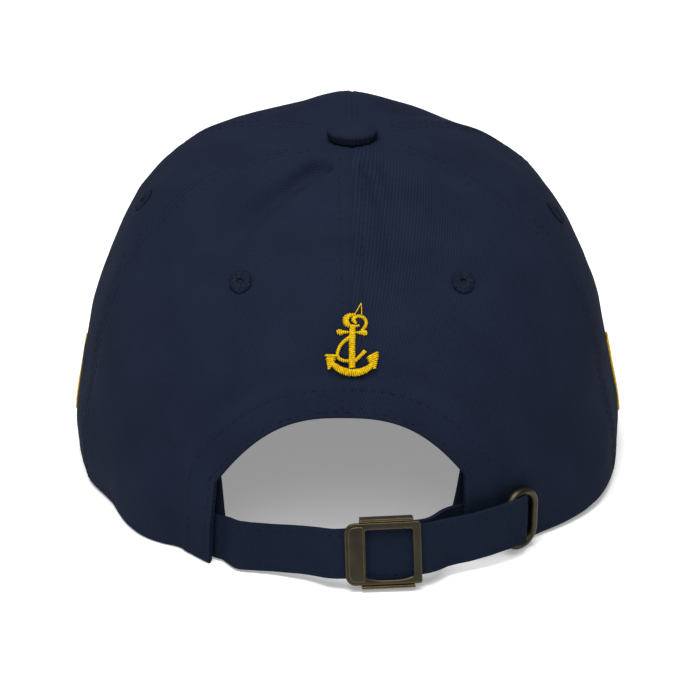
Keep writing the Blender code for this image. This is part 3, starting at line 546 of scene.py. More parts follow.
def arch_distance(points):
    """Distance of points on the back from the arch's edge, seen from behind."""
    line = arch_line(0.0)
    flat = points[..., [0, 2]].reshape(-1, 2)
    nearest = np.full(len(flat), np.inf)
    for start, end in zip(line[:-1], line[1:]):
        span = end - start
        along = np.clip((flat - start) @ span / (span @ span), 0.0, 1.0)
        nearest = np.minimum(nearest, np.linalg.norm(flat - start - along[:, None] * span, axis=1))
    nearest = nearest.reshape(points.shape[:-1])
    return np.where(points[..., 1] < 0.0, nearest, 1.0)


def seam_distance(azimuth, way, points):
    """Distance from the nearest seam along the cloth."""
    rim = way_at(rim_height(azimuth))
    up = np.clip((way - rim) / (PANEL_TOP - rim), 0.0, 1.0)
    radius = np.linalg.norm(points[..., :2], axis=-1)
    nearest = np.full(azimuth.shape, np.inf)
    for side in ("back", "back_side", "side_front", "front"):
        for turn in (-1.0, 1.0):
            turned = (azimuth - turn * seam(side, up) + math.pi) % (2.0 * math.pi) - math.pi
            nearest = np.minimum(nearest, np.abs(turned) * radius)
    return nearest


def slack(points):
    """Gentle unevenness of soft cloth: a few waves that cross."""
    total = np.zeros(points.shape[:-1])
    for size, wave in enumerate(WAVES):
        for index in range(WAVE_DIRECTIONS):
            turn = 2.4 * index + size
            tilt = math.sin(1.7 * index + 2.0 * size)
            direction = np.array([math.cos(turn), math.sin(turn), tilt])
            direction /= np.linalg.norm(direction)
            bend = np.sin(points[..., [1, 2, 0]] @ direction * math.pi / wave.length + index)
            phase = 2.0 * math.pi * (points @ direction) / wave.length + 1.3 * bend + index
            total += wave.height * np.sin(phase) / WAVE_DIRECTIONS**0.5
    return total


def thinned(distance):
    """How far a wall's faces draw in towards its middle at a distance from its rounded edge, from 0 to 1."""
    away = np.clip(distance / EDGE_ROUND, 0.0, 1.0)
    return 1.0 - np.sqrt(np.clip(1.0 - (1.0 - away) ** 2, 0.0, 1.0))


def dressed(azimuth, way):
    """Outside of the sewn cloth and its outward normals: creases, pressed seams and folded hem."""
    azimuth, way = np.broadcast_arrays(np.asarray(azimuth, float), np.asarray(way, float))
    points = crown_surface(azimuth, way)
    outward = levelled(facing(crown_surface, azimuth, way), way)
    from_seam = seam_distance(azimuth, way, points)
    from_arch = arch_distance(points)
    relief = slack(points) - folded(CREASES, points, outward)
    relief += SEAM_PUFF * bell((from_seam - ROW_OFFSET / 2) / SEAM_REACH)
    relief -= SEAM_SINK * bell(from_seam / SEAM_REACH)
    relief -= ROW_SINK * bell((from_seam - ROW_OFFSET) / ROW_REACH)
    relief += HEM_RISE * (1.0 - ease((from_arch - HEM_WIDTH) / HEM_STEP))
    relief -= HEM_HOLLOW * bell((from_arch - HEM_WIDTH - HEM_HOLLOW_REACH) / HEM_HOLLOW_REACH)
    for row in HEM_ROWS:
        relief -= ROW_SINK * bell((from_arch - row) / ROW_REACH)
    return points + relief[..., None] * outward, outward


def graded(count, pull):
    """Shares from 0 to 1, closer together at both ends."""
    shares = np.linspace(0.0, 1.0, count + 1)
    return shares - pull * np.sin(2.0 * math.pi * shares) / (2.0 * math.pi)


def grid_faces(rows, columns, first=0):
    """Quads of a grid of points that is numbered row by row."""
    index = first + np.arange(rows * columns).reshape(rows, columns)
    quads = np.stack([index[:-1, :-1], index[:-1, 1:], index[1:, 1:], index[1:, :-1]], axis=-1)
    return quads.reshape(-1, 4)


def new_piece(name, points, faces, finish, spots=None):
    """Mesh piece in the frame from points round the crown's axis. Spots are flat places in metres, as UVs."""
    mesh = bpy.data.meshes.new(name)
    mesh.from_pydata(np.asarray(points).tolist(), [], np.asarray(faces).tolist())
    if spots is not None:
        layer = mesh.uv_layers.new(name="cloth")
        corners = np.zeros(len(mesh.loops), dtype=np.int32)
        mesh.loops.foreach_get("vertex_index", corners)
        layer.data.foreach_set("uv", np.asarray(spots)[corners].astype(np.float32).ravel())
    mesh.transform(Matrix.Translation(AXIS))
    mesh.update()
    piece = bpy.data.objects.new(name, mesh)
    bpy.context.scene.collection.objects.link(piece)
    mesh.materials.append(finish)
    return piece


def finish_piece(piece, slot, *nodes):
    """Shades a piece, and ties it to the body and to the nodes it stands for. Its slot argument is not used."""
    piece.data.shade_smooth()
    piece.data.set_sharp_from_angle(angle=SMOOTH_ANGLE)
    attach(piece, "root")
    if nodes:
        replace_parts(piece, *nodes)
    return piece


def weld(piece, distance):
    work = bmesh.new()
    work.from_mesh(piece.data)
    bmesh.ops.remove_doubles(work, verts=work.verts, dist=distance)
    bmesh.ops.recalc_face_normals(work, faces=work.faces)
    work.to_mesh(piece.data)
    work.free()


def soften(piece, width, segments):
    """Rounds the cut edges of a wall."""
    bevel = piece.modifiers.new("soft_edges", "BEVEL")
    bevel.width = width
    bevel.segments = segments
    bevel.limit_method = "ANGLE"
    bevel.angle_limit = math.radians(60.0)


def shell(name, outer, inner, spots, finish):
    """Closed sheet between two grids of points, each shaped (rows, columns, 3)."""
    rows, columns = outer.shape[:2]
    count = rows * columns
    index = np.arange(count).reshape(rows, columns)
    border = np.concatenate([index[0, :-1], index[:-1, -1], index[-1, :0:-1], index[:0:-1, 0]])
    after = np.roll(border, -1)
    sides = np.stack([border, border + count, after + count, after], axis=-1)
    faces = np.concatenate([grid_faces(rows, columns), grid_faces(rows, columns, count)[:, ::-1], sides])
    points = np.concatenate([outer.reshape(-1, 3), inner.reshape(-1, 3)])
    flat = spots.reshape(-1, 2)
    return new_piece(name, points, faces, finish, np.concatenate([flat, flat]))


def flat_spots(points, middle):
    """Flat places of a grid on the cloth: along each row from the middle column, and up that column."""
    across = np.linalg.norm(np.diff(points, axis=1), axis=-1)
    across = np.concatenate([np.zeros((len(points), 1)), np.cumsum(across, axis=1)], axis=1)
    up = np.linalg.norm(np.diff(points[:, middle], axis=0), axis=-1)
    up = np.concatenate([[0.0], np.cumsum(up)])
    return np.stack([across - across[:, middle:middle + 1], np.repeat(up[:, None], points.shape[1], 1)], axis=-1)


WAY_TABLE = np.linspace(0.0, 1.0, WAY_STEPS)
CLIMB_TABLE = np.concatenate(
    [[0.0], np.cumsum(np.linalg.norm(np.diff(crown_form(0.7 + 0.0 * WAY_TABLE, WAY_TABLE), axis=0), axis=1))]
)


def inner_side(outer, outward, wall):
    return outer - wall * outward


def rounded_walls(azimuth, way):
    """Both faces of the panels' cloth, drawn together at the rounded edge of the hem and the rim."""
    outer, outward = dressed(azimuth, way)
    from_rim = CROWN_HEIGHT * read(SECTIONS, "way", "height", way) - rim_height(azimuth)
    draw = thinned(np.minimum(arch_distance(outer), from_rim)) * EDGE_SHARE * PANEL_WALL / 2
    inner = inner_side(outer, outward, PANEL_WALL) + draw[..., None] * outward
    return outer - draw[..., None] * outward, inner


def make_back_panel(turn, finish):
    """Back panel: a grid over the arch and one beside it that share the line above the arch's corner."""
    reach, corner = (ARCH_LEFT, ARCH_LEFT_CORNER) if turn < 0 else (ARCH_RIGHT, ARCH_RIGHT_CORNER)
    corner_way = float(way_at(corner))
    corner_azimuth = float(azimuth_at(turn * reach, corner_way))
    high = graded(PANEL_HIGH_ROWS, GRADE)

    over = graded(ARCH_COLUMNS, GRADE) * corner_azimuth
    foot = np.full_like(over, corner_way)
    for _ in range(8):
        foot = way_at(arch_height(crown_form(over, foot)[:, 0]))
    foot[-1] = corner_way
    over_way = foot + (PANEL_TOP - foot) * high[:, None]
    over_azimuth = np.broadcast_to(over, over_way.shape)
    radius = np.linalg.norm(crown_form(over_azimuth, over_way)[..., :2], axis=-1)
    nearness = 1.0 - np.linspace(0.0, 1.0, ARCH_COLUMNS + 1)
    over_azimuth = over_azimuth - turn * nearness * SEAM_LAP / radius

    low = np.linspace(0.0, 1.0, PANEL_LOW_ROWS + 1)[:-1]
    nominal = np.concatenate([corner_way * low, corner_way + (PANEL_TOP - corner_way) * high])
    near = azimuth_at(turn * reach, np.minimum(nominal, corner_way))
    side_rim = float(way_at(rim_height(math.radians(SEAMS[0].back_side))))
    up = np.clip((nominal - side_rim) / (PANEL_TOP - side_rim), 0.0, 1.0)
    far = turn * seam("back_side", up)
    share = graded(SIDE_COLUMNS, GRADE)
    beside_azimuth = near[:, None] + (far - near)[:, None] * share
    rim = way_at(rim_height(beside_azimuth))
    lift = np.clip(1.0 - nominal / corner_way, 0.0, 1.0)[:, None]
    beside_way = nominal[:, None] + rim * lift
    radius = np.linalg.norm(crown_form(beside_azimuth, beside_way)[..., :2], axis=-1)
    beside_azimuth = beside_azimuth + turn * share * SEAM_LAP / radius

    name = "panel_back_left" if turn < 0 else "panel_back_right"
    points, faces, spots, first = [], [], [], 0
    for azimuth, way in ((over_azimuth, over_way), (beside_azimuth, beside_way)):
        outer, inner = rounded_walls(azimuth, way)
        rows, columns = azimuth.shape
        count = rows * columns
        quads = grid_faces(rows, columns)
        faces += [quads + first, quads[:, ::-1] + first + count]
        index = np.arange(count).reshape(rows, columns)
        edges = [index[0], index[-1][::-1]]
        edges += [index[::-1, 0]] if way is over_way else [index[:, -1], index[:PANEL_LOW_ROWS + 1, 0][::-1]]
        for edge in edges:
            sides = np.stack([edge[:-1], edge[:-1] + count, edge[1:] + count, edge[1:]], axis=-1)
            faces.append(sides + first)
        lengths = crown_form(azimuth, way)
        radius = np.linalg.norm(lengths[..., :2], axis=-1)
        middle = turn * math.radians(SEAMS[1].back_side) / 2
        climb = np.interp(way, WAY_TABLE, CLIMB_TABLE)
        flat = np.stack([(azimuth - middle) * radius, climb], axis=-1).reshape(-1, 2)
        points += [outer.reshape(-1, 3), inner.reshape(-1, 3)]
        spots += [flat, flat]
        first += 2 * count
    piece = new_piece(name, np.concatenate(points), np.concatenate(faces), finish, np.concatenate(spots))
    weld(piece, WELD)
    return finish_piece(piece, "twill", name)


def make_panel(name, turn, near, far, finish):
    """Side or front panel between two seams: turn is -1 on the left and 1 on the right."""
    share = graded(SIDE_COLUMNS + ARCH_COLUMNS, GRADE)
    up = graded(PANEL_HIGH_ROWS + PANEL_LOW_ROWS, GRADE)[:, None]
    start, end = seam(near, up), seam(far, up)
    azimuth = turn * (start + (end - start) * share)
    rim = way_at(rim_height(azimuth))
    way = rim + (PANEL_TOP - rim) * up
    radius = np.linalg.norm(crown_form(azimuth, way)[..., :2], axis=-1)
    azimuth = azimuth - turn * (0.5 - share) * 2 * SEAM_LAP / radius
    outer, inner = rounded_walls(azimuth, way)
    piece = shell(name, outer, inner, flat_spots(outer, len(share) // 2), finish)
    weld(piece, WELD)
    return finish_piece(piece, "twill", name)


def tubes(name, paths, outward, radii, sides, finish):
    """Round threads, each along its own path: paths and outward are (count, points, 3), radii (count, points)."""
    forward = unit(np.gradient(paths, axis=1))
    side = unit(np.cross(forward, outward))
    above = np.cross(side, forward)
    turn = 2.0 * math.pi * np.arange(sides) / sides
    rings = np.cos(turn)[:, None] * side[:, :, None] + np.sin(turn)[:, None] * above[:, :, None]
    points = paths[:, :, None] + radii[:, :, None, None] * rings
    count, steps = paths.shape[:2]
    index = np.arange(count * steps * sides).reshape(count, steps, sides)
    turned = np.roll(index, -1, axis=2)
    quads = np.stack([index[:, :-1], turned[:, :-1], turned[:, 1:], index[:, 1:]], axis=-1).reshape(-1, 4)
    mesh_faces = quads.tolist() + index[:, 0, ::-1].tolist() + index[:, -1].tolist()
    mesh = bpy.data.meshes.new(name)
    mesh.from_pydata(points.reshape(-1, 3).tolist(), [], mesh_faces)
    mesh.transform(Matrix.Translation(AXIS))
    mesh.materials.append(finish)
    mesh.shade_smooth()
    piece = bpy.data.objects.new(name, mesh)
    bpy.context.scene.collection.objects.link(piece)
    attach(piece, "root")
    return piece


def row_of_stitches(line, outward):
    """Stitches along a line on the cloth: their paths and outward directions."""
    lengths = np.concatenate([[0.0], np.cumsum(np.linalg.norm(np.diff(line, axis=0), axis=1))])
    count = int((lengths[-1] - STITCH_LENGTH) / STITCH_PITCH)
    starts = STITCH_PITCH * np.arange(count) + (STITCH_PITCH - STITCH_LENGTH) / 2
    at = starts[:, None] + STITCH_LENGTH * np.linspace(0.0, 1.0, STITCH_STEPS)
    paths = np.stack([np.interp(at, lengths, line[:, axis]) for axis in range(3)], axis=-1)
    up = unit(np.stack([np.interp(at, lengths, outward[:, axis]) for axis in range(3)], axis=-1))
    arch = np.sin(math.pi * np.linspace(0.0, 1.0, STITCH_STEPS)) ** 0.5
    return paths + ((STITCH_LIFT + STITCH_SINK) * arch - STITCH_SINK)[None, :, None] * up, up


def make_stitches(name, rows, finish):
    """One piece of all the stitches in the given rows, each row a (line, outward) pair."""
    made = [row_of_stitches(line, outward) for line, outward in rows]
    paths = np.concatenate([paths for paths, _ in made])
    outward = np.concatenate([up for _, up in made])
    radii = np.full(paths.shape[:2], STITCH_RADIUS)
    return tubes(name, paths, outward, radii, STITCH_SIDES, finish)


def crown_rows():
    """Topstitching on both sides of each seam, and two rows round the hem."""
    rows = []
    up = np.linspace(0.004, 0.955, 160)
    for side in ("back", "back_side", "side_front", "front"):
        for turn in (-1.0, 1.0):
            offsets = (ROW_OFFSET * turn,) if side in ("back", "front") else (-ROW_OFFSET, ROW_OFFSET)
            for offset in offsets:
                middle = turn * seam(side, up)
                rim = way_at(rim_height(middle))
                way = rim + (PANEL_TOP - rim) * up
                if side == "back":
                    way = np.linspace(float(way_at(ARCH_HEIGHT + STITCH_PITCH / 2)), way[-1], len(way))
                if side == "front":
                    middle = np.full_like(up, math.pi)
                radius = np.linalg.norm(crown_form(middle, way)[:, :2], axis=1)
                rows.append(dressed(middle + offset / radius, way))
    for away in HEM_ROWS:
        line = arch_line(away)
        line = line[line[:, 1] > STITCH_LENGTH / 2]
        way = way_at(line[:, 1])
        rows.append(dressed(azimuth_at(line[:, 0], way), way))
    return rows


def course_point(strip, along, rise):
    """Middle of a strip: along counts the rows of its course, rise goes from its lower to its upper edge."""
    rows = np.arange(len(strip.course))
    azimuth = np.radians(smooth(rows, column(strip.course, "azimuth"), along))
    inside = smooth(rows, column(strip.course, "inside"), along)
    proud = smooth(rows, column(strip.course, "proud"), along) * STRAP_WIDTH
    low = smooth(rows, column(strip.course, "low"), along) * STRAP_WIDTH
    lean = smooth(rows, column(strip.course, "lean"), along) * STRAP_WIDTH
    height = low + rise * np.sqrt(STRAP_WIDTH**2 - lean**2)
    depth = inside * (PANEL_WALL + LINING_GAP + strip.wall / 2.0) - proud - lean * (0.5 - rise)
    return crown_point(azimuth, way_at(height), depth)


def axes_of(form, along, rise):
    """Point of a strip's surface with its directions along, up and outward."""
    forward = unit(form(along + NUDGE, rise) - form(along - NUDGE, rise))
    upward = form(along, rise + NUDGE) - form(along, rise - NUDGE)
    outward = unit(np.cross(forward, upward))
    return form(along, rise), forward, np.cross(outward, forward), outward


def course_share(course, azimuth):
    """Place on a course, counted in its rows, where it passes an azimuth in degrees."""
    return float(np.interp(azimuth, column(course, "azimuth"), np.arange(len(course))))


def buckle_axes():
    """Place of the buckle on the strap with its directions along, up and outward."""
    along = course_share(STRAP_COURSE, BUCKLE_AZIMUTH)
    return axes_of(lambda at, rise: course_point(STRAP, at, rise), along, 0.5)


def held_point(strip, along, rise):
    """Middle of a strip where the buckle holds it flat at its own distance, and on its course elsewhere."""
    points = course_point(strip, along, rise)
    origin, forward, _, outward = buckle_axes()
    away = points - origin
    hold = 1.0 - ease((np.abs(away @ forward) - LEVER_WIDTH / 2.0 - BUCKLE_GAP) / BUCKLE_EASE)
    return points + (hold * (strip.offset - away @ outward))[..., None] * outward


def strip_surface(strip, along, rise):
    """Outer face of a strip with its outward normals: the doubled cloth puffs between its edge rows."""
    azimuth = smooth(np.arange(len(strip.course)), column(strip.course, "azimuth"), along)
    hang = STRAP_HANG / STRAP_WIDTH * bell((azimuth - HANG_AZIMUTH) / HANG_SPREAD)
    low = rise - hang * (1.0 - rise)
    middle, _, _, outward = axes_of(lambda at, up: held_point(strip, at, up), along, low)
    from_edge = np.minimum(rise, 1.0 - rise) * STRAP_WIDTH
    relief = STRIP_SLACK * np.sin(5.1 * along + 3.0 * rise) * np.sin(2.3 * along - 1.0)
    relief = relief - ROW_SINK * bell((from_edge - STRAP_ROW) / ROW_REACH)
    return middle + (strip.wall / 2 + relief)[..., None] * outward, outward


def make_strip(name, strip, finish):
    last = len(strip.course) - 1
    along, rise = np.meshgrid(
        np.linspace(0.0, last, last * STRIP_STEPS + 1), graded(STRIP_ROWS, GRADE), indexing="xy"
    )
    outer, outward = strip_surface(strip, along, rise)
    spots = flat_spots(outer, 0)
    piece = shell(name, outer, inner_side(outer, outward, strip.wall), spots, finish)
    weld(piece, WELD)
    soften(piece, STRIP_ROUND, 3)
    finish_piece(piece, "twill", name)
    steps = np.linspace(0.0, last, last * STRIP_STEPS * 2 + 1)
    edges = (STRAP_ROW / STRAP_WIDTH, 1.0 - STRAP_ROW / STRAP_WIDTH)
    return [strip_surface(strip, steps, np.full_like(steps, edge)) for edge in edges]


def tuck(azimuth):
    """How far the sweatband makes room for the strap and the tab: 1 at the back, 0 at the sides."""
    turned = np.degrees(np.abs((azimuth + math.pi) % (2.0 * math.pi) - math.pi))
    last = max(abs(STRAP_COURSE[0].azimuth), STRAP_COURSE[-1].azimuth)
    return 1.0 - ease((turned - last - TUCK_PAST) / TUCK_FADE)


def make_sweatband(finish):
    """Sweatband round the inside of the rim, from one side of the opening to the other."""
    across, up = np.meshgrid(
        np.linspace(0.0, 1.0, SWEATBAND_COLUMNS + 1), np.linspace(0.0, 1.0, SWEATBAND_ROWS + 1), indexing="xy"
    )
    right = SWEATBAND_SHOWS * (1.0 - up / SWEATBAND_RIGHT_CLOSES)
    left = SWEATBAND_SHOWS * (1.0 - up / SWEATBAND_LEFT_CLOSES)
    start = math.asin(ARCH_RIGHT / CROWN_RIGHT) - right / CROWN_RIGHT
    end = 2.0 * math.pi - math.asin(ARCH_LEFT / CROWN_LEFT) + left / CROWN_LEFT
    azimuth = start + (end - start) * across
    way = way_at(rim_height(azimuth) + SWEATBAND_LIFT + SWEATBAND_HEIGHT * up)
    depth = PANEL_WALL + LINING_GAP + tuck(azimuth) * (STRAP_WALL + LINING_GAP)
    outer, inner = crown_point(azimuth, way, depth), crown_point(azimuth, way, depth + SWEATBAND_WALL)
    piece = shell("sweatband", outer, inner, flat_spots(outer, 0), finish)
    weld(piece, WELD)
    finish_piece(piece, "sweatband_cloth", "sweatband")


def peak_place(across, out, face):
    """Peak: straight rulings from the front rim to the outer edge, whose sides rest on the surface."""
    turn = 2.0 * across - 1.0
    azimuth = math.pi - turn * PEAK_SPAN
    inner = crown_point(azimuth, way_at(rim_height(azimuth)), PANEL_WALL)
    inner[..., 2] = rim_height(azimuth) + PEAK_SEWN
    corner = crown_point(math.pi - PEAK_SPAN, way_at(rim_height(np.float64(math.pi - PEAK_SPAN))), 0.0)
    angle = turn * math.pi / 2.0
    tip = CROWN_FRONT + PEAK_REACH
    side = signed_power(np.sin(angle), 2.0 / PEAK_SIDE_POWER)
    ahead = np.maximum(np.cos(angle), 0.0) ** (2.0 / PEAK_FRONT_POWER)
    root_y = corner[1] - PEAK_CORNER
    outer = np.stack(
        [
            PEAK_HALF_WIDTH * side,
            root_y + (tip - root_y) * ahead,
            PEAK_WALL + PEAK_RISE * ease(1.0 - np.abs(turn) / PEAK_REST),
        ],
        axis=-1,
    )
    points = inner + (outer - inner) * out[..., None]
    points[..., 2] -= face * PEAK_WALL
    return points


def make_peak(finish):
    across, out = np.meshgrid(np.linspace(0.0, 1.0, 97), graded(30, GRADE), indexing="xy")
    top, under = peak_place(across, out, 0.0), peak_place(across, out, 1.0)
    rows = np.linspace(PEAK_FIRST_ROW, PEAK_LAST_ROW, PEAK_STITCH_ROWS)
    for row in rows:
        top[..., 2] -= ROW_SINK * bell((out - row) * PEAK_REACH / ROW_REACH)
    piece = shell("peak", top, under, flat_spots(top, 48), finish)
    weld(piece, WELD)
    soften(piece, PEAK_ROUND, 3)
    finish_piece(piece, "twill", "peak")
    steps = np.linspace(0.02, 0.98, 200)
    upward = np.broadcast_to(np.array([0.0, 0.0, 1.0]), (len(steps), 3))
    return [(peak_place(steps, np.full_like(steps, row), 0.0), upward) for row in rows]


def make_button(finish):
    """Covered button: a turned dome whose cloth is pleated where it goes under the edge."""
    ways = np.linspace(0.8, 1.0, 101)
    radii = CROWN_FRONT * read(SECTIONS, "way", "front", ways)
    heights = CROWN_HEIGHT * read(SECTIONS, "way", "height", ways)
    edge = GAP + float(np.interp(-BUTTON_RADIUS, -radii, heights))
    foot = CROWN_HEIGHT + GAP
    shoulder = foot + BUTTON_EDGE
    turn = np.linspace(0.0, math.pi / 2.0, 25)
    profile = np.concatenate(
        [
            np.stack([BUTTON_RADIUS * np.sin(turn), shoulder + (BUTTON_HEIGHT - BUTTON_EDGE) * np.cos(turn)], 1),
            np.stack([np.full(6, BUTTON_RADIUS), np.linspace(shoulder, edge, 7)[1:]], 1),
            [[0.0, foot]],
        ]
    )
    around = 2.0 * math.pi * np.arange(97) / 96
    radius, height = profile[:, 0, None], profile[:, 1, None] + 0.0 * around
    pleat = BUTTON_PLEAT_DEPTH * np.sin(BUTTON_PLEATS * around + np.sin(2.0 * around))
    radius = radius - pleat * ease((radius / BUTTON_RADIUS - 0.7) / 0.3)
    radius = radius - 0.0005 * (height < shoulder) * (shoulder - height) / (shoulder - edge)
    points = np.stack([radius * np.cos(around), radius * np.sin(around), height], axis=-1)
    spots = points[..., :2].reshape(-1, 2)
    piece = new_piece("button", points.reshape(-1, 3), grid_faces(*points.shape[:2]), finish, spots)
    weld(piece, WELD)
    return finish_piece(piece, "twill", "button")


def on_crown(azimuth, height, gap):
    """Function that lays flat places (x east, y up, z outward) on the cloth round a place."""
    way = float(way_at(height))
    east = crown_form(azimuth + LAY_TURN, way) - crown_form(azimuth - LAY_TURN, way)
    up = crown_form(azimuth, way + NUDGE) - crown_form(azimuth, way - NUDGE)
    per_turn = np.linalg.norm(east) / (2 * LAY_TURN)
    per_way = np.linalg.norm(up) / (2 * NUDGE)

    def lay(flat):
        ways = way + flat[..., 1] / per_way
        girth = read(SECTIONS, "way", "back", ways) / read(SECTIONS, "way", "back", way)
        azimuths = azimuth + flat[..., 0] / (per_turn * girth)
        outward = levelled(facing(crown_surface, azimuths, ways), ways)
        return crown_surface(azimuths, ways) + (flat[..., 2] + gap)[..., None] * outward, outward

    return lay


def satin(stroke, scale, seed):
    """Flat paths of the satin threads across a stroke, each arched over the padding."""
    chance = np.random.default_rng(seed)
    places = np.array([(stitch.x, stitch.y, stitch.radius) for stitch in stroke]) * scale
    knots = np.concatenate([[0.0], np.cumsum(np.linalg.norm(np.diff(places[:, :2], axis=0), axis=1))])
    dense = np.linspace(0.0, knots[-1], 200)
    if len(stroke) > 2:
        line = np.stack([rounded(knots, places[:, axis], dense) for axis in range(3)], axis=-1)
    else:
        line = np.stack([np.interp(dense, knots, places[:, axis]) for axis in range(3)], axis=-1)
    run = np.concatenate([[0.0], np.cumsum(np.linalg.norm(np.diff(line[:, :2], axis=0), axis=1))])
    at = np.arange(0.0, run[-1] + SATIN_PITCH / 2, SATIN_PITCH)
    middle = np.stack([np.interp(at, run, line[:, axis]) for axis in range(2)], axis=-1)
    radius = np.interp(at, run, line[:, 2]) - SATIN_RADIUS / 2
    radius = radius * (1.0 + 0.05 * chance.standard_normal(len(at)))
    forward = unit(np.gradient(middle, axis=0))
    across = np.stack([forward[:, 1], -forward[:, 0]], axis=-1) + SATIN_SLANT * forward
    share = np.linspace(-1.0, 1.0, SATIN_STEPS)
    flat = middle[:, None] + (radius[:, None] * share)[..., None] * unit(across)[:, None]
    height = ANCHOR_FLATTEN * radius[:, None] * np.sqrt(np.clip(1.0 - share**2, 0.0, 1.0)) + SATIN_COVER / 2
    return np.concatenate([flat, height[..., None]], axis=-1)


def rounded(places, values, at):
    """Curve through the points that keeps an even bend, for strokes."""
    tangents = np.gradient(values, places)
    span = np.clip(np.searchsorted(places, at, side="right") - 1, 0, len(places) - 2)
    step = places[span + 1] - places[span]
    share = (at - places[span]) / step
    square, cube = share**2, share**3
    return (
        values[span] * (2 * cube - 3 * square + 1)
        + tangents[span] * step * (cube - 2 * square + share)
        + values[span + 1] * (3 * square - 2 * cube)
        + tangents[span + 1] * step * (cube - square)
    )


def make_anchor_threads(finish):
    lay = on_crown(0.0, ANCHOR_FOOT * CROWN_HEIGHT, ANCHOR_LIFT)
    flat = np.concatenate([satin(stroke, ANCHOR_HEIGHT, seed) for seed, stroke in enumerate(ANCHOR_STROKES)])
    flat[:, [0, -1], 2] = -ANCHOR_LIFT
    paths, outward = lay(flat)
    radii = np.full(paths.shape[:2], SATIN_RADIUS)
    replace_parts(tubes("anchor_satin", paths, outward, radii, SATIN_SIDES, finish), "anchor")
    tail = np.array([stitch for stitch in ANCHOR_TAIL]) * ANCHOR_HEIGHT
    tail_at = np.linspace(0.0, len(tail) - 1.0, 40)
    tail = np.stack([np.interp(tail_at, np.arange(len(tail)), tail[:, axis]) for axis in range(3)], axis=-1)
    paths, outward = lay(tail[None])
    radii = np.full(paths.shape[:2], TAIL_RADIUS)
    tubes("anchor_thread_end", paths, outward, radii, SATIN_SIDES, finish)


def make_bar_threads(finish):
    """Level satin threads over each bar, from its foot to its top."""
    chance = np.random.default_rng(40)
    up = np.arange(0.0, 1.0, SATIN_PITCH / BAR_HEIGHT)
    share = np.linspace(-1.0, 1.0, SATIN_STEPS)
    everything = []
    for azimuth in (BAR_LEFT_AZIMUTH, BAR_RIGHT_AZIMUTH):
        half = BAR_WIDTH / 2 * (1.0 + 0.02 * chance.standard_normal(len(up)))
        height = SATIN_RADIUS / 2 * (1.0 - np.abs(share) ** 8)
        flat = np.stack(
            [
                half[:, None] * share,
                (up * BAR_HEIGHT)[:, None] + 0.0003 * share,
                np.broadcast_to(height, (len(up), SATIN_STEPS)),
            ],
            axis=-1,
        )
        everything.append(on_crown(math.radians(azimuth), BAR_FOOT * CROWN_HEIGHT, 0.0)(flat))
    paths = np.concatenate([paths for paths, _ in everything])
    outward = np.concatenate([outward for _, outward in everything])
    radii = np.full(paths.shape[:2], SATIN_RADIUS)
    satin_bars = tubes("side_bar_satin", paths, outward, radii, SATIN_SIDES, finish)
    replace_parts(satin_bars, "side_bar_left", "side_bar_right")


def make_eyelet_threads(finish):
    """Ring of buttonhole stitches round each hole."""
    share = np.linspace(-1.0, 1.0, SATIN_STEPS)
    turn = 2.0 * math.pi * np.arange(EYELET_STITCHES) / EYELET_STITCHES
    everything = []
    for seed, eyelet in enumerate(EYELETS):
        chance = np.random.default_rng(60 + seed)
        thread = EYELET_THREAD * (1.0 + 0.06 * chance.standard_normal(EYELET_STITCHES))[:, None]
        radius = EYELET_RING + thread * share
        height = EYELET_FLATTEN * thread * np.sqrt(np.clip(1.0 - share**2, 0.0, 1.0)) + SATIN_COVER / 2
        wind = turn[:, None] + 0.12 * share
        flat = np.stack([radius * np.cos(wind), radius * np.sin(wind), height], axis=-1)
        gap = SATIN_COVER
        everything.append(on_crown(math.radians(eyelet.azimuth), eyelet.height * CROWN_HEIGHT, gap)(flat))
    paths = np.concatenate([paths for paths, _ in everything])
    outward = np.concatenate([outward for _, outward in everything])
    radii = np.full(paths.shape[:2], EYELET_STITCH_RADIUS)
    stitches = tubes("eyelet_stitches", paths, outward, radii, SATIN_SIDES, finish)
    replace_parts(stitches, *[f"eyelet_{eyelet.name}" for eyelet in EYELETS])


def as_matrix(east, up, outward, origin):
    """Placement in the frame whose axes are the given directions."""
    matrix = Matrix.Identity(4)
    for index, axis in enumerate((east, up, outward, origin)):
        for row in range(3):
            matrix[row][index] = float(axis[row])
    return Matrix.Translation(AXIS) @ matrix


def standing(azimuth, height, out):
    """Axes of the crown at a place: columns east, up and outward, set off by out."""
    way = way_at(height)
    east = unit(crown_surface(azimuth + NUDGE, way) - crown_surface(azimuth - NUDGE, way))
    outward = facing(crown_surface, azimuth, way)
    return as_matrix(east, np.cross(outward, east), outward, crown_surface(azimuth, way) + out * outward)


def round_outline(left, right, low, high, radii):
    """Rectangle with round corners: radii run from the low left corner round to the high left one."""
    centres = ((left, low, 1, 1), (right, low, -1, 1), (right, high, -1, -1), (left, high, 1, -1))
    outline = []
    for index, ((x, y, turn_x, turn_y), radius) in enumerate(zip(centres, radii)):
        for step in range(CORNER_STEPS + 1):
            angle = 0.5 * math.pi * (2 + index + step / CORNER_STEPS)
            outline.append((x + radius * (turn_x + math.cos(angle)), y + radius * (turn_y + math.sin(angle))))
    return outline


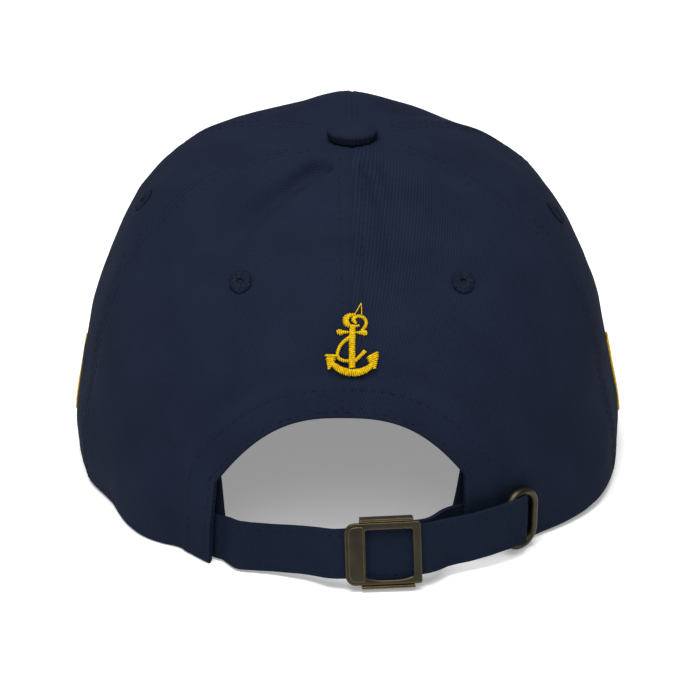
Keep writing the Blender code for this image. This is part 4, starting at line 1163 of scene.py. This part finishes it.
def plate(name, outlines, thickness, rounding, placement, finish):
    """Metal plate with rounded edges from closed outlines, the inner ones being holes."""
    curve = bpy.data.curves.new(name, "CURVE")
    curve.dimensions = "2D"
    curve.fill_mode = "BOTH"
    curve.extrude = thickness / 2 - rounding
    curve.bevel_depth = rounding
    curve.bevel_resolution = 3
    curve.offset = -rounding
    for outline in outlines:
        spline = curve.splines.new("POLY")
        spline.points.add(len(outline) - 1)
        for point, (x, y) in zip(spline.points, outline):
            point.co = (x, y, 0.0, 1.0)
        spline.use_cyclic_u = True
    carrier = bpy.data.objects.new(name, curve)
    bpy.context.scene.collection.objects.link(carrier)
    bpy.context.view_layer.update()
    mesh = bpy.data.meshes.new_from_object(carrier.evaluated_get(bpy.context.evaluated_depsgraph_get()))
    bpy.data.objects.remove(carrier)
    mesh.transform(placement)
    mesh.materials.clear()
    mesh.materials.append(finish)
    piece = bpy.data.objects.new(name, mesh)
    bpy.context.scene.collection.objects.link(piece)
    weld(piece, WELD)
    return piece


def make_buckle(finish):
    """Lever frame clamped over the strap, with a raised field on its wide bar, and the channel behind."""
    origin, forward, upward, outward = buckle_axes()
    axes = as_matrix(forward, upward, outward, origin)
    half_width, half_height = LEVER_WIDTH / 2, LEVER_HEIGHT / 2
    outer = round_outline(
        -half_width, half_width, -half_height, half_height,
        [LEVER_CORNER, LEVER_RIM / 2, LEVER_RIM / 2, LEVER_CORNER],
    )
    low, high = LEVER_FOOT - half_height, half_height - LEVER_TOP
    left, right = LEVER_BAR - half_width, half_width - LEVER_SIDE
    across = np.linspace(0.0, 1.0, WINDOW_STEPS)
    sag = LEVER_SAG * np.abs(2.0 * across - 1.0) ** 3
    window = [(left + (right - left) * share, low + rise) for share, rise in zip(across, sag)]
    window += [(right, high - LEVER_RIM / 4), (right - LEVER_RIM / 4, high), (left + LEVER_RIM / 4, high)]
    window += [(left, high - LEVER_RIM / 4)]
    lever_out = STRAP_WALL / 2 + BUCKLE_GAP + LEVER_WALL / 2
    raised = axes @ Matrix.Translation((0.0, 0.0, lever_out))
    finish_piece(plate("buckle_lever", [outer, window], LEVER_WALL, BRASS_ROUND, raised, finish),
                 "aged_brass", "buckle_lever")

    inset = LEVER_CORNER / 3
    border = round_outline(
        inset - half_width, LEVER_BAR - half_width - inset / 2, inset - half_height, half_height - inset,
        [LEVER_CORNER * 0.7, inset / 2, inset / 2, LEVER_CORNER * 0.7],
    )
    on_top = axes @ Matrix.Translation((0.0, 0.0, lever_out + LEVER_WALL / 2))
    finish_piece(plate("lever_field", [border], BORDER_WALL, BORDER_WALL * 0.45, on_top, finish), "aged_brass")

    back = -STRAP_WALL / 2 - BUCKLE_GAP - BASE_WALL
    front = lever_out + LEVER_WALL / 2
    inner = LEVER_HEIGHT / 2 + GAP
    channel = [
        (back, -inner - BASE_WALL), (front, -inner - BASE_WALL), (front, -inner), (back + BASE_WALL, -inner),
        (back + BASE_WALL, inner), (front, inner), (front, inner + BASE_WALL), (back, inner + BASE_WALL),
    ]
    swap = Matrix(((0, 0, -1, BASE_OFFSET), (0, 1, 0, 0), (1, 0, 0, 0), (0, 0, 0, 1)))
    finish_piece(plate("buckle_base", [channel], BASE_WIDTH, BASE_WALL / 5, axes @ swap, finish),
                 "aged_brass", "buckle_base")


def ring_height():
    """Height of the strap's middle where it goes through the slot ring."""
    along = course_share(STRAP_COURSE, RING_AZIMUTH)
    low = float(smooth(np.arange(len(STRAP_COURSE)), column(STRAP_COURSE, "low"), along))
    return (low + 0.5) * STRAP_WIDTH


def make_slot_ring(finish):
    """Brass ring round the slot that takes the strap's end: a wire flattened a little."""
    half_width = RING_WIDTH / 2 - RING_WIRE
    half_height = STRAP_WIDTH / 2 + BUCKLE_GAP + RING_WIRE
    path = round_outline(-half_width, half_width, -half_height, half_height, [RING_CORNER] * 4)
    path = np.array(path + path[:1])
    line = np.stack([path[:, 0], path[:, 1], np.zeros(len(path))], axis=-1)
    line = line[np.concatenate([[True], np.linalg.norm(np.diff(line, axis=0), axis=1) > WELD])]
    count = len(line) - 1
    forward = unit(np.roll(line[:-1], -1, axis=0) - np.roll(line[:-1], 1, axis=0))
    side = np.stack([forward[:, 1], -forward[:, 0], np.zeros(count)], axis=-1)
    turn = 2.0 * math.pi * np.arange(RING_SIDES) / RING_SIDES
    rings = np.cos(turn)[:, None] * side[:, None] + np.sin(turn)[:, None] * np.array([0.0, 0.0, 1.0])
    points = (line[:-1, None] + rings * np.array([RING_WIRE, RING_WIRE, RING_DEPTH])).reshape(-1, 3)
    index = np.arange(count * RING_SIDES).reshape(count, RING_SIDES)
    after, turned = np.roll(index, -1, axis=0), np.roll(index, -1, axis=1)
    faces = np.stack([index, turned, np.roll(after, -1, axis=1), after], axis=-1).reshape(-1, 4)
    mesh = bpy.data.meshes.new("slot_ring")
    mesh.from_pydata(points.tolist(), [], faces.tolist())
    mesh.transform(standing(math.radians(RING_AZIMUTH), ring_height() - RING_DROP, LINING_GAP + RING_DEPTH))
    mesh.materials.append(finish)
    piece = bpy.data.objects.new("slot_ring", mesh)
    bpy.context.scene.collection.objects.link(piece)
    weld(piece, WELD)
    finish_piece(piece, "aged_brass", "slot_ring")


def colour(code):
    """Linear colour of an sRGB hex code."""
    shares = [int(code[at:at + 2], 16) / 255 for at in (0, 2, 4)]
    linear = [share / 12.92 if share <= 0.04045 else ((share + 0.055) / 1.055) ** 2.4 for share in shares]
    return (*linear, 1.0)


def node(tree, kind, inputs, **settings):
    """Adds a node with its settings, and fills its inputs with values or links."""
    made = tree.nodes.new(kind)
    for name, value in settings.items():
        setattr(made, name, value)
    for name, value in inputs.items():
        if isinstance(value, bpy.types.NodeSocket):
            tree.links.new(value, made.inputs[name])
        else:
            made.inputs[name].default_value = value
    return made


def new_finish(name, values):
    """Material with its shader's fixed values, its tree and its shader."""
    made = bpy.data.materials.new(name)
    made.use_nodes = True
    shader = made.node_tree.nodes["Principled BSDF"]
    for socket, value in values.items():
        shader.inputs[socket].default_value = value
    return made, made.node_tree, shader


def connect(tree, shader, sockets):
    for socket, source in sockets.items():
        tree.links.new(source, shader.inputs[socket])


def cotton_twill(name, shade, light, twill_depth):
    """Brushed cotton twill: fine diagonal ribs, faded a little on the ribs, with a soft nap and uneven dye."""
    made, tree, shader = new_finish(
        name,
        {"Specular IOR Level": 0.03, "Roughness": 0.92},
    )
    spots = node(tree, "ShaderNodeUVMap", {}, uv_map="cloth").outputs["UV"]
    # Real ribs are about 0.5 mm apart; they are drawn at 0.85 mm, so that a photo of this size can hold them
    ribs = node(
        tree, "ShaderNodeTexWave", {"Vector": node(
            tree, "ShaderNodeMapping", {"Vector": spots, "Rotation": (0.0, 0.0, math.radians(32.0))}
        ).outputs["Vector"], "Scale": 2.0 * math.pi / (20.0 * 0.85 * MM), "Distortion": 0.6,
            "Detail": 1.0, "Detail Scale": 2.0},
    ).outputs["Fac"]
    nap = node(tree, "ShaderNodeTexNoise", {"Vector": spots, "Scale": 900.0, "Detail": 3.0}).outputs["Fac"]
    dye = node(tree, "ShaderNodeTexNoise", {"Vector": spots, "Scale": 48.0, "Detail": 3.0}).outputs["Fac"]
    mixed = node(tree, "ShaderNodeMath", {0: ribs, 1: 0.3}, operation="MULTIPLY").outputs[0]
    mixed = node(tree, "ShaderNodeMath", {0: nap, 1: 0.35, 2: mixed}, operation="MULTIPLY_ADD").outputs[0]
    mixed = node(tree, "ShaderNodeMath", {0: dye, 1: 0.5, 2: mixed}, operation="MULTIPLY_ADD").outputs[0]
    tone = node(tree, "ShaderNodeMapRange", {"Value": mixed, "From Min": 0.17, "From Max": 0.97}).outputs["Result"]
    base = node(
        tree, "ShaderNodeMix", {"Factor": tone, 6: colour(shade), 7: colour(light)}, data_type="RGBA"
    ).outputs[2]
    depth = node(tree, "ShaderNodeMath", {0: nap, 1: 0.5, 2: ribs}, operation="MULTIPLY_ADD").outputs[0]
    bump = node(tree, "ShaderNodeBump", {"Height": depth, "Strength": 0.25, "Distance": twill_depth})
    connect(tree, shader, {"Base Color": base, "Normal": bump.outputs["Normal"]})
    return made


def cotton_thread(name, shade, light, rough, shine):
    """Sewing or embroidery thread: colour that shifts a little from stitch to stitch."""
    made, tree, shader = new_finish(name, {"Roughness": rough, "Specular IOR Level": shine})
    place = node(tree, "ShaderNodeTexCoord", {}).outputs["Object"]
    shift = node(tree, "ShaderNodeTexNoise", {"Vector": place, "Scale": 1400.0, "Detail": 2.0}).outputs["Fac"]
    tone = node(tree, "ShaderNodeMapRange", {"Value": shift, "From Min": 0.35, "From Max": 0.65}).outputs["Result"]
    base = node(
        tree, "ShaderNodeMix", {"Factor": tone, 6: colour(shade), 7: colour(light)}, data_type="RGBA"
    ).outputs[2]
    connect(tree, shader, {"Base Color": base})
    return made


def aged_brass():
    """Antique brass: dark brown patina, rubbed to warm bronze along the edges, with faint brushing."""
    made, tree, shader = new_finish("aged brass", {"Metallic": 1.0})
    place = node(tree, "ShaderNodeTexCoord", {}).outputs["Object"]
    normal = node(tree, "ShaderNodeNewGeometry", {}).outputs["Normal"]
    rounded_normal = node(tree, "ShaderNodeBevel", {"Radius": 0.0006}, samples=6).outputs["Normal"]
    alike = node(
        tree, "ShaderNodeVectorMath", {0: normal, 1: rounded_normal}, operation="DOT_PRODUCT"
    ).outputs["Value"]
    worn = node(
        tree, "ShaderNodeMapRange", {"Value": alike, "From Min": 0.995, "From Max": 0.86}
    ).outputs["Result"]
    grain = node(tree, "ShaderNodeTexNoise", {"Vector": place, "Scale": 700.0, "Detail": 4.0}).outputs["Fac"]
    cloud = node(tree, "ShaderNodeTexNoise", {"Vector": place, "Scale": 160.0, "Detail": 2.0}).outputs["Fac"]
    rubbed = node(tree, "ShaderNodeMath", {0: worn, 1: grain, 2: 0.0}, operation="MULTIPLY_ADD").outputs[0]
    rubbed = node(tree, "ShaderNodeMath", {0: rubbed, 1: 1.5}, operation="MULTIPLY", use_clamp=True).outputs[0]
    patina = node(
        tree, "ShaderNodeMix", {"Factor": cloud, 6: colour("2d2a22"), 7: colour("4b463b")}, data_type="RGBA"
    ).outputs[2]
    base = node(
        tree, "ShaderNodeMix", {"Factor": rubbed, 6: patina, 7: colour("a08655")}, data_type="RGBA"
    ).outputs[2]
    rough = node(
        tree, "ShaderNodeMapRange", {"Value": grain, "To Min": 0.34, "To Max": 0.55}
    ).outputs["Result"]
    connect(tree, shader, {"Base Color": base, "Roughness": rough})
    return made


def studio_floor():
    """White studio table, lit a little from inside, so that it stays pale grey even under the cap."""
    made, tree, shader = new_finish(
        "white studio table",
        {"Base Color": colour("f4f4f4"), "Roughness": 0.9, "Specular IOR Level": 0.1,
         "Emission Color": colour("ffffff"), "Emission Strength": FLOOR_GLOW},
    )
    return made


def area_light(name, place, size, power, aim):
    data = bpy.data.lights.new(name, "AREA")
    data.shape = "DISK"
    data.size = size
    data.energy = power
    light = bpy.data.objects.new(name, data)
    light.location = place
    light.rotation_mode = "QUATERNION"
    light.rotation_quaternion = (Vector(aim) - Vector(place)).to_track_quat("-Z", "Y")
    bpy.context.scene.collection.objects.link(light)


def make_studio():
    """Plain floor, soft light from above and from the left of the camera, and an even surround."""
    mesh = bpy.data.meshes.new("studio_floor")
    half = FLOOR_SIZE / 2
    mesh.from_pydata([(-half, -half, 0), (half, -half, 0), (half, half, 0), (-half, half, 0)], [], [(0, 1, 2, 3)])
    mesh.materials.append(studio_floor())
    floor = bpy.data.objects.new("studio_floor", mesh)
    bpy.context.scene.collection.objects.link(floor)
    for light in LIGHTS:
        area_light(light.name, (light.x, light.y, light.z), light.size, light.power, (0.0, 0.0, 0.05))
    world = bpy.data.worlds.new("surround")
    world.use_nodes = True
    world.node_tree.nodes["Background"].inputs["Color"].default_value = colour("ffffff")
    world.node_tree.nodes["Background"].inputs["Strength"].default_value = SURROUND
    bpy.context.scene.world = world


def make_camera():
    data = bpy.data.cameras.new("camera")
    data.lens = CAMERA_LENS
    data.sensor_width = SENSOR
    camera = bpy.data.objects.new("camera", data)
    back = Vector((0.0, -math.cos(CAMERA_ELEVATION), math.sin(CAMERA_ELEVATION)))
    camera.location = AXIS + CAMERA_FROM + CAMERA_DISTANCE * back
    camera.rotation_mode = "QUATERNION"
    camera.rotation_quaternion = (AXIS + CAMERA_AIM - camera.location).to_track_quat("-Z", "Y")
    bpy.context.scene.collection.objects.link(camera)
    bpy.context.scene.camera = camera


def main():
    twill = cotton_twill("navy cotton twill", "111623", "1f2638", 0.00007)
    strap_twill = cotton_twill("navy strap twill", "0f1520", "1c2435", 0.00008)
    band = cotton_twill("navy cotton band", "121724", "20273a", 0.00005)
    navy_thread = cotton_thread("navy sewing thread", "0f1520", "1d2434", 0.8, 0.05)
    gold = cotton_thread("gold embroidery thread", "bd9402", "dfbe04", 0.55, 0.10)
    brass = aged_brass()

    for turn in (-1, 1):
        make_back_panel(turn, twill)
        side = "left" if turn < 0 else "right"
        make_panel(f"panel_side_{side}", turn, "back_side", "side_front", twill)
        make_panel(f"panel_front_{side}", turn, "side_front", "front", twill)
    make_stitches("crown_stitches", crown_rows(), navy_thread)
    rows = make_strip("strap", STRAP, strap_twill) + make_strip("buckle_tab", TAB, strap_twill)
    make_stitches("strap_stitches", rows, navy_thread)
    make_stitches("peak_stitches", make_peak(twill), navy_thread)
    make_button(twill)
    make_sweatband(band)
    make_eyelet_threads(navy_thread)
    make_anchor_threads(gold)
    make_bar_threads(gold)
    make_buckle(brass)
    make_slot_ring(brass)
    make_studio()
    make_camera()
    bpy.context.scene.view_settings.view_transform = "Standard"


main()
